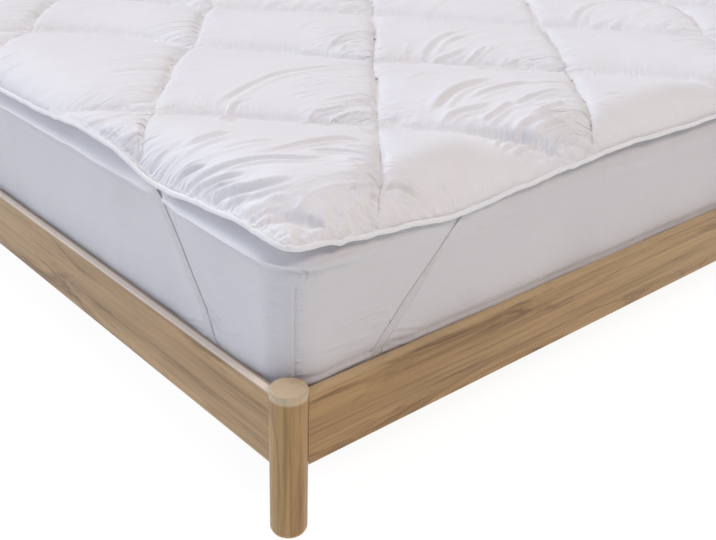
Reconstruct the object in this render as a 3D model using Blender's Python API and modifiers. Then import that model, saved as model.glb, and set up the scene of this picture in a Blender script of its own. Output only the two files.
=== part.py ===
"""A quilted mattress topper held on its mattress by four corner straps, with the wooden bed under it.

Metres, +Z up.  The origin is on the floor under the middle of the bed.  X runs along the bed's
length, Y across it.  The bed, its mattress and the topper are one fixed assembly.
"""
import math

import bmesh
import bpy
from mathutils import Vector

# ---------------------------------------------------------------- driving dimensions
TOUCH_GAP = 0.0003            # left between pieces that touch

MATTRESS_LENGTH = 2.000       # along X
MATTRESS_WIDTH = 1.800        # along Y
MATTRESS_BOTTOM = 0.201
MATTRESS_TOP = 0.511
MATTRESS_CORNER_RADIUS = 0.068
MATTRESS_SHOULDER_RADIUS = 0.058
MATTRESS_FOOT_RADIUS = 0.020

POST_RADIUS = 0.030
POST_HEIGHT = 0.2665
POST_FOOT_RADIUS = 0.008
POST_TOP_RADIUS = 0.003
POST_STEPS = 24
POST_TO_MATTRESS = 0.003      # from the post's axis out to the mattress's side, in plan

RAIL_TOP = 0.255
RAIL_BOTTOM = 0.125
RAIL_THICKNESS = 0.018
RAIL_OUTER_OFFSET = 0.0204    # the rail's outer face, outside the posts' axes
RAIL_EASE = 0.002

SLAT_COUNT = 11
SLAT_WIDTH = 0.090
SLAT_THICKNESS = 0.018
FIRST_SLAT_FROM_MIDDLE = 0.780
LEDGER_WIDTH = 0.022
LEDGER_HEIGHT = 0.030
BEAM_WIDTH = 0.040
BEAM_HEIGHT = 0.050
CENTRE_LEG_RADIUS = 0.022

TOPPER_OVERHANG = 0.005       # the topper's edge, outside the mattress's side
TOPPER_CORNER_RADIUS = 0.030
TOPPER_EDGE_THICKNESS = 0.008
SHOULDER_CLEARANCE = 0.004    # under the topper where it falls over the mattress's shoulder
SEAM_HEIGHT = 0.535           # top of the sewn lines, away from the edge
PUFF_RISE = 0.027             # the crown of a filled diamond, over its seams
SEAM_ROLL = 0.110             # how far in from the edge a seam reaches its full height
PUFF_ROLL = 0.070             # and how far in a diamond is filled to its crown
# Height of the middle of the topper's edge along each side, from a corner to the side's middle.
# The straps pull it down a third of a metre from each corner.
EDGE_HEIGHTS = (
    {"from_corner": 0.00, "short_side": 0.491, "long_side": 0.489},
    {"from_corner": 0.09, "short_side": 0.495, "long_side": 0.477},
    {"from_corner": 0.20, "short_side": 0.490, "long_side": 0.475},
    {"from_corner": 0.34, "short_side": 0.481, "long_side": 0.460},
    {"from_corner": 0.50, "short_side": 0.507, "long_side": 0.472},
    {"from_corner": 0.60, "short_side": 0.511, "long_side": 0.480},
    {"from_corner": 0.80, "short_side": 0.500, "long_side": 0.489},
    {"from_corner": 1.01, "short_side": 0.497, "long_side": 0.484},
)

CELLS_PER_DIAMOND = 12        # steps of the surface along a diamond's diagonal
CELLS_X = 44                  # diamonds are 12 / 44 of the length and 12 / 35 of the width
CELLS_Y = 35
FALLING_SEAM = 2              # i + j of the first seam that cuts the near corner
RISING_SEAM = -4              # j - i of the seam that starts on the near long side
EDGE_STEPS = (0.0137, 0.0297)  # extra surface lines close to the edge

PIPING_RADIUS = 0.0042

STRAP_WIDTH = 0.020
STRAP_THICKNESS = 0.0012
STRAP_OFF_MATTRESS = 0.0012   # from the mattress to the middle of the strap
STRAP_SEWN_OUT = 0.0035       # its sewn end lies under the topper's edge, outside the mattress
STRAP_STRAIGHT_BELOW_EDGE = 0.030
# Where each strap's middle runs, from the mattress's corner: on the short side and the long side,
# at its sewn end, where it starts to turn under the mattress, and where it lies flat under it.
STRAP_ROUTE = {
    "short_side": {"sewn": 0.367, "turn": 0.166, "under": 0.146},
    "long_side": {"sewn": 0.352, "turn": 0.140, "under": 0.120},
}
STRAP_TURN_STEPS = 4

POST_X = MATTRESS_LENGTH / 2 + POST_TO_MATTRESS
POST_Y = MATTRESS_WIDTH / 2 + POST_TO_MATTRESS
RAIL_INNER_X = POST_X + RAIL_OUTER_OFFSET - RAIL_THICKNESS
RAIL_INNER_Y = POST_Y + RAIL_OUTER_OFFSET - RAIL_THICKNESS
SLAT_TOP = MATTRESS_BOTTOM - TOUCH_GAP
SLAT_BOTTOM = SLAT_TOP - SLAT_THICKNESS
LEDGER_TOP = SLAT_BOTTOM - TOUCH_GAP
TOPPER_LENGTH = MATTRESS_LENGTH + 2 * TOPPER_OVERHANG
TOPPER_WIDTH = MATTRESS_WIDTH + 2 * TOPPER_OVERHANG

COLOURS = {
    "quilted_cloth": (0.90, 0.90, 0.91, 1.0),
    "piping_cloth": (0.88, 0.88, 0.90, 1.0),
    "elastic": (0.74, 0.74, 0.76, 1.0),
    "mattress_cloth": (0.78, 0.78, 0.81, 1.0),
    "oak": (0.55, 0.40, 0.25, 1.0),
}


# ---------------------------------------------------------------- scene helpers
def clear_scene():
    for obj in list(bpy.data.objects):
        bpy.data.objects.remove(obj, do_unlink=True)


def new_collection(name):
    collection = bpy.data.collections.new(name)
    bpy.context.scene.collection.children.link(collection)
    return collection


def new_material(name, roughness):
    material = bpy.data.materials.new(name)
    material.use_nodes = True
    shader = material.node_tree.nodes["Principled BSDF"]
    shader.inputs["Base Color"].default_value = COLOURS[name]
    shader.inputs["Roughness"].default_value = roughness
    shader.inputs["Metallic"].default_value = 0.0
    return material


def add_mesh(name, shape, material, collection, smooth=False):
    """Turn a bmesh into a named object in the collection."""
    bmesh.ops.recalc_face_normals(shape, faces=shape.faces)
    mesh = bpy.data.meshes.new(name)
    shape.to_mesh(mesh)
    shape.free()
    if smooth:
        mesh.shade_smooth()
    mesh.materials.append(material)
    obj = bpy.data.objects.new(name, mesh)
    collection.objects.link(obj)
    return obj


def box_shape(low, high):
    shape = bmesh.new()
    bmesh.ops.create_cube(shape, size=1.0)
    low = Vector(low)
    high = Vector(high)
    bmesh.ops.scale(shape, vec=high - low, verts=shape.verts)
    bmesh.ops.translate(shape, vec=(low + high) / 2, verts=shape.verts)
    return shape


# ---------------------------------------------------------------- the topper's surface
def surface_lines(cells, length):
    """Distances from one edge of the lines of the topper's surface, closer together at both edges."""
    even = [length * k / cells for k in range(cells + 1)]
    near = list(EDGE_STEPS)
    far = [length - step for step in reversed(EDGE_STEPS)]
    return [0.0] + near + even[1:-1] + far + [length]


def round_corner(from_x, from_y):
    """Move a point near a corner of the outline so that the outline turns there in an arc."""
    radius = TOPPER_CORNER_RADIUS
    if from_x >= radius or from_y >= radius:
        return from_x, from_y
    across = 1.0 - from_x / radius
    along = 1.0 - from_y / radius
    round_across = across * math.sqrt(1.0 - along * along / 2.0)
    round_along = along * math.sqrt(1.0 - across * across / 2.0)
    return radius * (1.0 - round_across), radius * (1.0 - round_along)


def plan_point(s, t):
    """Where the surface's point s along the length and t across the width lies in plan."""
    near_x = min(s, TOPPER_LENGTH - s)
    near_y = min(t, TOPPER_WIDTH - t)
    in_x, in_y = round_corner(near_x, near_y)
    side_x = math.copysign(1.0, s - TOPPER_LENGTH / 2)
    side_y = math.copysign(1.0, t - TOPPER_WIDTH / 2)
    return side_x * (TOPPER_LENGTH / 2 - in_x), side_y * (TOPPER_WIDTH / 2 - in_y)


def side_edge_height(from_corner, side):
    """Height of the edge a distance from the nearest corner, on a smooth curve through the rows."""
    for row, following in zip(EDGE_HEIGHTS, EDGE_HEIGHTS[1:]):
        if from_corner <= following["from_corner"]:
            share = (from_corner - row["from_corner"]) / (following["from_corner"] - row["from_corner"])
            eased = share * share * (3.0 - 2.0 * share)
            return row[side] + (following[side] - row[side]) * eased
    return EDGE_HEIGHTS[-1][side]


def edge_height(s, t):
    """Height of the middle of the topper's edge nearest to a point of its surface."""
    near_x = min(s, TOPPER_LENGTH - s)
    near_y = min(t, TOPPER_WIDTH - t)
    if near_x < near_y:
        return side_edge_height(near_y, "short_side")
    return side_edge_height(near_x, "long_side")


def roll(distance, reach):
    """Rises from 0 at the edge to 1 at the reach, round like a pillow."""
    inward = min(1.0, max(0.0, distance / reach))
    return 1.0 - (1.0 - inward) ** 2


def puff(phase):
    """Cross-section of the filling between two seams: 0 on both, 1 half way, steep at the seams."""
    between = phase - math.floor(phase)
    return math.sqrt(max(0.0, 4.0 * between * (1.0 - between)))


def seam_phases(s, t):
    """Place between the falling seams and between the rising seams: a whole number is on a seam."""
    i = CELLS_X * s / TOPPER_LENGTH
    j = CELLS_Y * t / TOPPER_WIDTH
    return (i + j - FALLING_SEAM) / CELLS_PER_DIAMOND, (j - i - RISING_SEAM) / CELLS_PER_DIAMOND


def crown(s, t):
    """How full the topper is at a point, from 0 on a seam to 1 in the middle of a diamond."""
    falling, rising = seam_phases(s, t)
    return puff(falling) * puff(rising)


def top_height(s, t):
    near_x = min(s, TOPPER_LENGTH - s)
    near_y = min(t, TOPPER_WIDTH - t)
    edge = edge_height(s, t) + TOPPER_EDGE_THICKNESS / 2
    seam_share = roll(near_x, SEAM_ROLL) * roll(near_y, SEAM_ROLL)
    puff_share = roll(near_x, PUFF_ROLL) * roll(near_y, PUFF_ROLL)
    return edge + (SEAM_HEIGHT - edge) * seam_share + PUFF_RISE * crown(s, t) * puff_share


def shoulder_drop(inside):
    """How far the mattress's rounded shoulder lies below its top, a distance inside its side."""
    short = MATTRESS_SHOULDER_RADIUS - min(MATTRESS_SHOULDER_RADIUS, inside)
    return MATTRESS_SHOULDER_RADIUS - math.sqrt(MATTRESS_SHOULDER_RADIUS ** 2 - short ** 2)


def bottom_height(s, t):
    near_x = min(s, TOPPER_LENGTH - s)
    near_y = min(t, TOPPER_WIDTH - t)
    edge = edge_height(s, t) - TOPPER_EDGE_THICKNESS / 2
    if min(near_x, near_y) <= 0.0:
        return edge
    drop = shoulder_drop(near_x - TOPPER_OVERHANG) + shoulder_drop(near_y - TOPPER_OVERHANG)
    over_shoulder = MATTRESS_TOP + SHOULDER_CLEARANCE - drop
    return min(MATTRESS_TOP + TOUCH_GAP, max(edge, over_shoulder))


def topper_outline(lines_x, lines_y):
    """The surface's points round the edge, once, counter-clockwise."""
    near_side = [(s, 0.0) for s in lines_x[:-1]]
    far_end = [(TOPPER_LENGTH, t) for t in lines_y[:-1]]
    far_side = [(s, TOPPER_WIDTH) for s in reversed(lines_x[1:])]
    near_end = [(0.0, t) for t in reversed(lines_y[1:])]
    return near_side + far_end + far_side + near_end


def make_quilted_pad(material, collection):
    """The filled, quilted topper as one solid: diamonds crowned between sewn channels."""
    lines_x = surface_lines(CELLS_X, TOPPER_LENGTH)
    lines_y = surface_lines(CELLS_Y, TOPPER_WIDTH)
    shape = bmesh.new()
    top = {}
    bottom = {}
    for s in lines_x:
        for t in lines_y:
            x, y = plan_point(s, t)
            top[s, t] = shape.verts.new((x, y, top_height(s, t)))
            bottom[s, t] = shape.verts.new((x, y, bottom_height(s, t)))
    flat_faces = []
    flat_height = MATTRESS_TOP + TOUCH_GAP
    for a, s in enumerate(lines_x[:-1]):
        for b, t in enumerate(lines_y[:-1]):
            next_s = lines_x[a + 1]
            next_t = lines_y[b + 1]
            ring = [(s, t), (next_s, t), (next_s, next_t), (s, next_t)]
            add_quilt_cell(shape, [top[key] for key in ring], (s + next_s) / 2, (t + next_t) / 2)
            under = shape.faces.new([bottom[key] for key in reversed(ring)])
            if all(abs(bottom[key].co.z - flat_height) < 1e-6 for key in ring):
                flat_faces.append(under)
    outline = topper_outline(lines_x, lines_y)
    for here, following in zip(outline, outline[1:] + outline[:1]):
        shape.faces.new((bottom[here], bottom[following], top[following], top[here]))
    bmesh.ops.dissolve_faces(shape, faces=flat_faces, use_verts=True)
    return add_mesh("quilted_pad", shape, material, collection, smooth=True)


def away_from_seam(phase):
    """Distance from the nearest seam of one direction, in diamonds."""
    between = phase - math.floor(phase)
    return min(between, 1.0 - between)


def add_quilt_cell(shape, corners, s, t):
    """Two triangles that share the diagonal along the nearest seam, so that a seam is a clean valley."""
    low_low, high_low, high_high, low_high = corners
    falling, rising = seam_phases(s, t)
    if away_from_seam(rising) < away_from_seam(falling):
        shape.faces.new((low_low, high_low, high_high))
        shape.faces.new((low_low, high_high, low_high))
    else:
        shape.faces.new((low_low, high_low, low_high))
        shape.faces.new((high_low, high_high, low_high))


def make_piping(material, collection):
    """A cord-filled piping sewn all round the topper's edge, following its dips."""
    outline = topper_outline(surface_lines(CELLS_X, TOPPER_LENGTH), surface_lines(CELLS_Y, TOPPER_WIDTH))
    points = [Vector((*plan_point(s, t), edge_height(s, t))) for s, t in outline]
    curve = bpy.data.curves.new("piping", "CURVE")
    curve.dimensions = "3D"
    curve.bevel_depth = PIPING_RADIUS
    curve.bevel_resolution = 1
    curve.use_fill_caps = False
    spline = curve.splines.new("POLY")
    spline.points.add(len(points) - 1)
    spline.use_cyclic_u = True
    stand_off = PIPING_RADIUS + TOUCH_GAP
    for index, point in enumerate(points):
        before = points[index - 1]
        after = points[(index + 1) % len(points)]
        arriving = (point - before).to_2d().normalized()
        leaving = (after - point).to_2d().normalized()
        outward = Vector((arriving.y + leaving.y, -arriving.x - leaving.x)).normalized()
        mitre = outward.dot(Vector((leaving.y, -leaving.x)))
        moved = point.to_2d() + outward * stand_off / mitre
        spline.points[index].co = (moved.x, moved.y, point.z, 1.0)
    curve.materials.append(material)
    obj = bpy.data.objects.new("piping", curve)
    collection.objects.link(obj)
    return obj


# ---------------------------------------------------------------- straps
def strap_half(side):
    """Sections of a strap from its sewn end to where it lies flat under the mattress.

    Each section is (distance outside the mattress's side, height, position along the side,
    half width, and the direction in which the strap's thickness lies, outward and up)."""
    route = STRAP_ROUTE[side]
    foot = MATTRESS_FOOT_RADIUS
    off = STRAP_OFF_MATTRESS
    strap_top = side_edge_height(route["sewn"], side) - TOPPER_EDGE_THICKNESS / 2 - 2 * TOUCH_GAP
    lean = (route["sewn"] - route["turn"]) / (strap_top - MATTRESS_BOTTOM - foot)
    level_half = STRAP_WIDTH / 2 * math.sqrt(1.0 + lean * lean)
    straight = side_edge_height(route["sewn"], side) - STRAP_STRAIGHT_BELOW_EDGE
    along_straight = route["sewn"] - lean * (strap_top - straight)
    sections = [(STRAP_SEWN_OUT, strap_top, route["sewn"], level_half, (1.0, 0.0)),
                (off, straight, along_straight, level_half, (1.0, 0.0))]
    for step in range(STRAP_TURN_STEPS + 1):
        share = step / STRAP_TURN_STEPS
        angle = share * math.pi / 2
        outward = -foot + (foot + off) * math.cos(angle)
        height = MATTRESS_BOTTOM + foot - (foot + off) * math.sin(angle)
        along = route["turn"] + (route["under"] - route["turn"]) * share
        sections.append((outward, height, along, level_half, (math.cos(angle), -math.sin(angle))))
    return sections


def make_strap(name, side_x, side_y, material, collection):
    """One elastic band from the short side's edge, under the mattress's corner, to the long side's."""
    shape = bmesh.new()
    rings = []
    sections = [("short_side", section) for section in strap_half("short_side")]
    sections += [("long_side", section) for section in reversed(strap_half("long_side"))]
    for side, (outward, height, along, half, normal) in sections:
        ring = []
        for across, depth in ((-1, -0.5), (1, -0.5), (1, 0.5), (-1, 0.5)):
            out = outward + depth * STRAP_THICKNESS * normal[0]
            up = height + depth * STRAP_THICKNESS * normal[1]
            away = along + across * half
            in_x, in_y = (-out, away) if side == "short_side" else (away, -out)
            x = side_x * (MATTRESS_LENGTH / 2 - in_x)
            y = side_y * (MATTRESS_WIDTH / 2 - in_y)
            ring.append(shape.verts.new((x, y, up)))
        rings.append(ring)
    for ring, following in zip(rings, rings[1:]):
        for k in range(4):
            after = (k + 1) % 4
            shape.faces.new((ring[k], ring[after], following[after], following[k]))
    shape.faces.new(rings[0])
    shape.faces.new(rings[-1])
    return add_mesh(name, shape, material, collection)


# ---------------------------------------------------------------- mattress
def bevel_edges(shape, chosen, radius, segments):
    bmesh.ops.bevel(shape, geom=chosen, offset=radius, offset_type="OFFSET", segments=segments,
                    profile=0.5, affect="EDGES", clamp_overlap=True)


def make_mattress(material, collection):
    """A block of foam and springs in its cover, round at its corners and at its shoulder."""
    shape = box_shape((-MATTRESS_LENGTH / 2, -MATTRESS_WIDTH / 2, MATTRESS_BOTTOM),
                      (MATTRESS_LENGTH / 2, MATTRESS_WIDTH / 2, MATTRESS_TOP))
    upright = [edge for edge in shape.edges if abs(edge.verts[0].co.z - edge.verts[1].co.z) > 0.1]
    bevel_edges(shape, upright, MATTRESS_CORNER_RADIUS, 6)
    rim = [edge for edge in shape.edges if all(v.co.z > MATTRESS_TOP - 1e-5 for v in edge.verts)]
    bevel_edges(shape, rim, MATTRESS_SHOULDER_RADIUS, 5)
    foot = [edge for edge in shape.edges if all(v.co.z < MATTRESS_BOTTOM + 1e-5 for v in edge.verts)]
    bevel_edges(shape, foot, MATTRESS_FOOT_RADIUS, 3)
    return add_mesh("mattress", shape, material, collection, smooth=True)


# ---------------------------------------------------------------- bed frame
def post_profile():
    """Half outline of a post, from the middle of its foot to the middle of its top."""
    points = [(0.0, 0.0)]
    for step in range(3):
        angle = math.pi / 2 * step / 2
        points.append((POST_RADIUS - POST_FOOT_RADIUS + POST_FOOT_RADIUS * math.sin(angle),
                       POST_FOOT_RADIUS - POST_FOOT_RADIUS * math.cos(angle)))
    for step in range(3):
        angle = math.pi / 2 * step / 2
        points.append((POST_RADIUS - POST_TOP_RADIUS + POST_TOP_RADIUS * math.cos(angle),
                       POST_HEIGHT - POST_TOP_RADIUS + POST_TOP_RADIUS * math.sin(angle)))
    points.append((0.0, POST_HEIGHT))
    return points


def make_post(name, side_x, side_y, material, collection):
    """A turned post: the profile runs down its outer side and is screwed round the axis."""
    profile = [(radius, 0.0, height) for radius, height in reversed(post_profile())]
    mesh = bpy.data.meshes.new(name)
    mesh.from_pydata(profile, [(k, k + 1) for k in range(len(profile) - 1)], [])
    mesh.materials.append(material)
    post = bpy.data.objects.new(name, mesh)
    collection.objects.link(post)
    post.location = (side_x * POST_X, side_y * POST_Y, 0.0)
    turn = post.modifiers.new("turn", "SCREW")
    turn.steps = POST_STEPS
    turn.render_steps = POST_STEPS
    turn.use_merge_vertices = True
    turn.merge_threshold = 0.00001
    turn.use_smooth_shade = True
    return post


def make_post_cutter(side_x, side_y, collection):
    """The room that a rail leaves for a post: the post's round, one touch gap larger."""
    shape = bmesh.new()
    bmesh.ops.create_cone(shape, cap_ends=True, segments=POST_STEPS, depth=2 * POST_HEIGHT,
                          radius1=POST_RADIUS + 2 * TOUCH_GAP, radius2=POST_RADIUS + 2 * TOUCH_GAP)
    mesh = bpy.data.meshes.new("post_room")
    shape.to_mesh(mesh)
    shape.free()
    cutter = bpy.data.objects.new("post_room", mesh)
    cutter.location = (side_x * POST_X, side_y * POST_Y, POST_HEIGHT / 2)
    cutter.hide_render = True
    cutter.display_type = "WIRE"
    collection.objects.link(cutter)
    return cutter


def make_rail(name, low, high, ends, material, collection):
    """A board on edge with eased edges, cut round at each end to fit against its posts."""
    shape = box_shape(low, high)
    bevel_edges(shape, list(shape.edges), RAIL_EASE, 2)
    rail = add_mesh(name, shape, material, collection)
    for cutter in ends:
        room = rail.modifiers.new("post room", "BOOLEAN")
        room.operation = "DIFFERENCE"
        room.solver = "EXACT"
        room.object = cutter
    return rail


def make_rails(material, collection, cutters):
    outer_x = POST_X + RAIL_OUTER_OFFSET
    outer_y = POST_Y + RAIL_OUTER_OFFSET
    rooms = {(sx, sy): make_post_cutter(sx, sy, cutters) for sx in (-1, 1) for sy in (-1, 1)}
    for name, side in (("side_rail_near", -1), ("side_rail_far", 1)):
        faces = sorted((side * RAIL_INNER_Y, side * outer_y))
        make_rail(name, (-POST_X, faces[0], RAIL_BOTTOM), (POST_X, faces[1], RAIL_TOP),
                  (rooms[-1, side], rooms[1, side]), material, collection)
    for name, side in (("end_rail_near", -1), ("end_rail_far", 1)):
        faces = sorted((side * RAIL_INNER_X, side * outer_x))
        make_rail(name, (faces[0], -POST_Y, RAIL_BOTTOM), (faces[1], POST_Y, RAIL_TOP),
                  (rooms[side, -1], rooms[side, 1]), material, collection)


def make_slat_base(material, collection):
    """Slats on a ledger along each side rail, with a beam and a leg under their middle."""
    slat_half = RAIL_INNER_Y - TOUCH_GAP
    pitch = 2 * FIRST_SLAT_FROM_MIDDLE / (SLAT_COUNT - 1)
    for index in range(SLAT_COUNT):
        middle = -FIRST_SLAT_FROM_MIDDLE + index * pitch
        shape = box_shape((middle - SLAT_WIDTH / 2, -slat_half, SLAT_BOTTOM),
                          (middle + SLAT_WIDTH / 2, slat_half, SLAT_TOP))
        add_mesh(f"slat_{index + 1:02d}", shape, material, collection)
    ledger_half = FIRST_SLAT_FROM_MIDDLE + SLAT_WIDTH
    for name, side in (("ledger_near", -1), ("ledger_far", 1)):
        faces = sorted((side * slat_half, side * (slat_half - LEDGER_WIDTH)))
        shape = box_shape((-ledger_half, faces[0], LEDGER_TOP - LEDGER_HEIGHT),
                          (ledger_half, faces[1], LEDGER_TOP))
        add_mesh(name, shape, material, collection)
    beam_half = RAIL_INNER_X - TOUCH_GAP
    beam = box_shape((-beam_half, -BEAM_WIDTH / 2, LEDGER_TOP - BEAM_HEIGHT),
                     (beam_half, BEAM_WIDTH / 2, LEDGER_TOP))
    add_mesh("centre_beam", beam, material, collection)
    leg_height = LEDGER_TOP - BEAM_HEIGHT - TOUCH_GAP
    leg = bmesh.new()
    bmesh.ops.create_cone(leg, cap_ends=True, segments=POST_STEPS, depth=leg_height,
                          radius1=CENTRE_LEG_RADIUS, radius2=CENTRE_LEG_RADIUS)
    bmesh.ops.translate(leg, vec=(0.0, 0.0, leg_height / 2), verts=leg.verts)
    add_mesh("centre_leg", leg, material, collection)


# ---------------------------------------------------------------- the whole object
def build():
    clear_scene()
    parts = new_collection("mattress_topper_on_bed")
    cutters = new_collection("cutters")
    oak = new_material("oak", 0.45)
    make_quilted_pad(new_material("quilted_cloth", 0.75), parts)
    make_piping(new_material("piping_cloth", 0.75), parts)
    elastic = new_material("elastic", 0.80)
    for name, side_x, side_y in (("strap_near_left", -1, -1), ("strap_near_right", 1, -1),
                                 ("strap_far_left", -1, 1), ("strap_far_right", 1, 1)):
        make_strap(name, side_x, side_y, elastic, parts)
    make_mattress(new_material("mattress_cloth", 0.80), parts)
    make_rails(oak, parts, cutters)
    for name, side_x, side_y in (("post_near_left", -1, -1), ("post_near_right", 1, -1),
                                 ("post_far_left", -1, 1), ("post_far_right", 1, 1)):
        make_post(name, side_x, side_y, oak, parts)
    make_slat_base(oak, parts)


build()
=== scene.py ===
"""The quilted mattress topper on its mattress and bed, dressed for its photograph.

Metres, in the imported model's frame: the origin is on the floor under the bed's middle, X along the
bed, Y across it.  The corner nearest the camera is the one at low x and low y.
"""

import math

import bmesh
import bpy
import numpy as np
from mathutils import Matrix, Vector


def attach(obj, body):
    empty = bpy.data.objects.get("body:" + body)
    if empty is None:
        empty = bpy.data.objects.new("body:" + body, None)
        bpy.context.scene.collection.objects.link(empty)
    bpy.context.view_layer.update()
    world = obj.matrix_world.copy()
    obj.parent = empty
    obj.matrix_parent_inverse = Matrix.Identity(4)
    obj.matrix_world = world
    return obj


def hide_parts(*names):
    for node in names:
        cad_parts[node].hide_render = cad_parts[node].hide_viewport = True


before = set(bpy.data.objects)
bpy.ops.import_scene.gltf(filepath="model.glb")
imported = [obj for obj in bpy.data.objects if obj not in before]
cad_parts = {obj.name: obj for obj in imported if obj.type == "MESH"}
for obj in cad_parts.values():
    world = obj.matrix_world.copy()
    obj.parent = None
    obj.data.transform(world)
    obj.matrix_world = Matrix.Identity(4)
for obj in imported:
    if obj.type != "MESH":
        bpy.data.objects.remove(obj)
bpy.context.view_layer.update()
BODY = "root"

# ---------------------------------------------------------------- sizes repeated from the CAD
MATTRESS_LENGTH = 2.000
MATTRESS_WIDTH = 1.800
MATTRESS_BOTTOM = 0.201
MATTRESS_TOP = 0.511
MATTRESS_CORNER_RADIUS = 0.068
MATTRESS_SHOULDER_RADIUS = 0.058
MATTRESS_FOOT_RADIUS = 0.020
TOPPER_OVERHANG = 0.005
TOPPER_CORNER_RADIUS = 0.030
TOPPER_EDGE_THICKNESS = 0.008
SHOULDER_CLEARANCE = 0.004
TOUCH_GAP = 0.0003
SEAM_ROLL = 0.110
# the edge's height by the distance from the corner, with more rows than the CAD has
EDGE_SHORT_SIDE = (
    (0, 0.492), (0.045, 0.495), (0.12, 0.498), (0.2, 0.49), (0.34, 0.481), (0.5, 0.507), (0.6, 0.511),
    (0.8, 0.5), (1.01, 0.497),
)
EDGE_LONG_SIDE = (
    (0, 0.491), (0.05, 0.4875), (0.1, 0.482), (0.15, 0.4755), (0.21, 0.471), (0.34, 0.46), (0.5, 0.472),
    (0.6, 0.48), (0.8, 0.489), (1.01, 0.484),
)
CELLS_PER_DIAMOND = 12
CELLS_X = 44
CELLS_Y = 35
FALLING_SEAM = 2
RISING_SEAM = -4
STRAP_WIDTH = 0.020
STRAP_SEWN_OUT = 0.0035
STRAP_ROUTE = {
    "short_side": {"sewn": 0.367, "turn": 0.166, "under": 0.146},
    "long_side": {"sewn": 0.352, "turn": 0.140, "under": 0.120},
}
TOPPER_LENGTH = MATTRESS_LENGTH + 2 * TOPPER_OVERHANG
TOPPER_WIDTH = MATTRESS_WIDTH + 2 * TOPPER_OVERHANG

# ---------------------------------------------------------------- the scene's own sizes
SEAM_HEIGHT = 0.525                 # these four replace the CAD's 0.535, 0.027, 0.0012 and 0.0012
PUFF_RISE = 0.035
STRAP_THICKNESS = 0.0006
STRAP_OFF_MATTRESS = 0.0006
DOME_RISE = 0.024                   # how far the topper is domed up towards its middle
CLOTH_LEAST = 0.0030                # the topper is nowhere thinner than this
STITCH_DEPTH = 0.0030
SLOPE_STEP = 0.004                  # over this distance the cloth's slope is measured
SAME_POINT = 0.00002                # points of the topper that lie closer are one point
GIVE_RISE = 0.433                   # above this height the mattress's side gives way with its top
UNDERSIDE_INSETS = (0.0, 0.010, 0.024, 0.040, 0.062)
FOLD_NARROWING = 0.72               # a fold's half width in the mesh, over that in its row
FOLD_LEAST_REACH = 0.004
FOLD_STRENGTH = 1.65                # of all the cloth's wrinkles together
PLACED_FOLD_STRENGTH = 1.35
SIDE_FOLD_STRENGTH = 1.3
CURVE_STEPS = 5                     # points on a fold's curve from one of its places to the next
GRID_X, GRID_Y = 220, 198           # cells of the topper's grid
FINEST = 4                          # the finest cells are divided into this many by this many
BINDING_RADIUS = 0.0041
BINDING_STEP_NEAR, BINDING_STEP_FAR = 0.0030, 0.009
BINDING_NEAR = 0.95                 # it is finer up to here from the near corner, and at each end
BINDING_SIDES = 12
FOOT_STEPS, SHOULDER_STEPS = 5, 12  # rings of the mattress's rounded foot and shoulder
# spacing of the points round the mattress: up to this distance from the near corner, this step
SIDE_STEPS = ((0.030, 0.0016), (0.10, 0.0034), (0.34, 0.0028), (0.75, 0.0050), (1.2, 0.009), (9.0, 0.020))
SIDE_STEP_UP = 0.0032
SIDE_LEAST_FOLD = 0.0034
SHOULDER_ROLL = 0.0165              # how far the cover's rolled shoulder stands out
END_RAIL_LEAN = 0.0046              # how far the short sides lean out onto the end rails
STRAP_STEPS = 6                     # faces across a strap
STRAP_TURN_STEPS = 8                # sections round the mattress's foot
STRAP_SIDE_STEPS = 40               # sections down its side
STRAP_BOW = 0.0002

# the seams' directions on the topper, from the diamonds' two diagonals
PHASE_X = CELLS_X / CELLS_PER_DIAMOND / TOPPER_LENGTH
PHASE_Y = CELLS_Y / CELLS_PER_DIAMOND / TOPPER_WIDTH
PHASE_STEP = math.hypot(PHASE_X, PHASE_Y)
SEAM_SPACING = 1.0 / PHASE_STEP
SEAM_NX = PHASE_X / PHASE_STEP
SEAM_NY = PHASE_Y / PHASE_STEP

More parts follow.
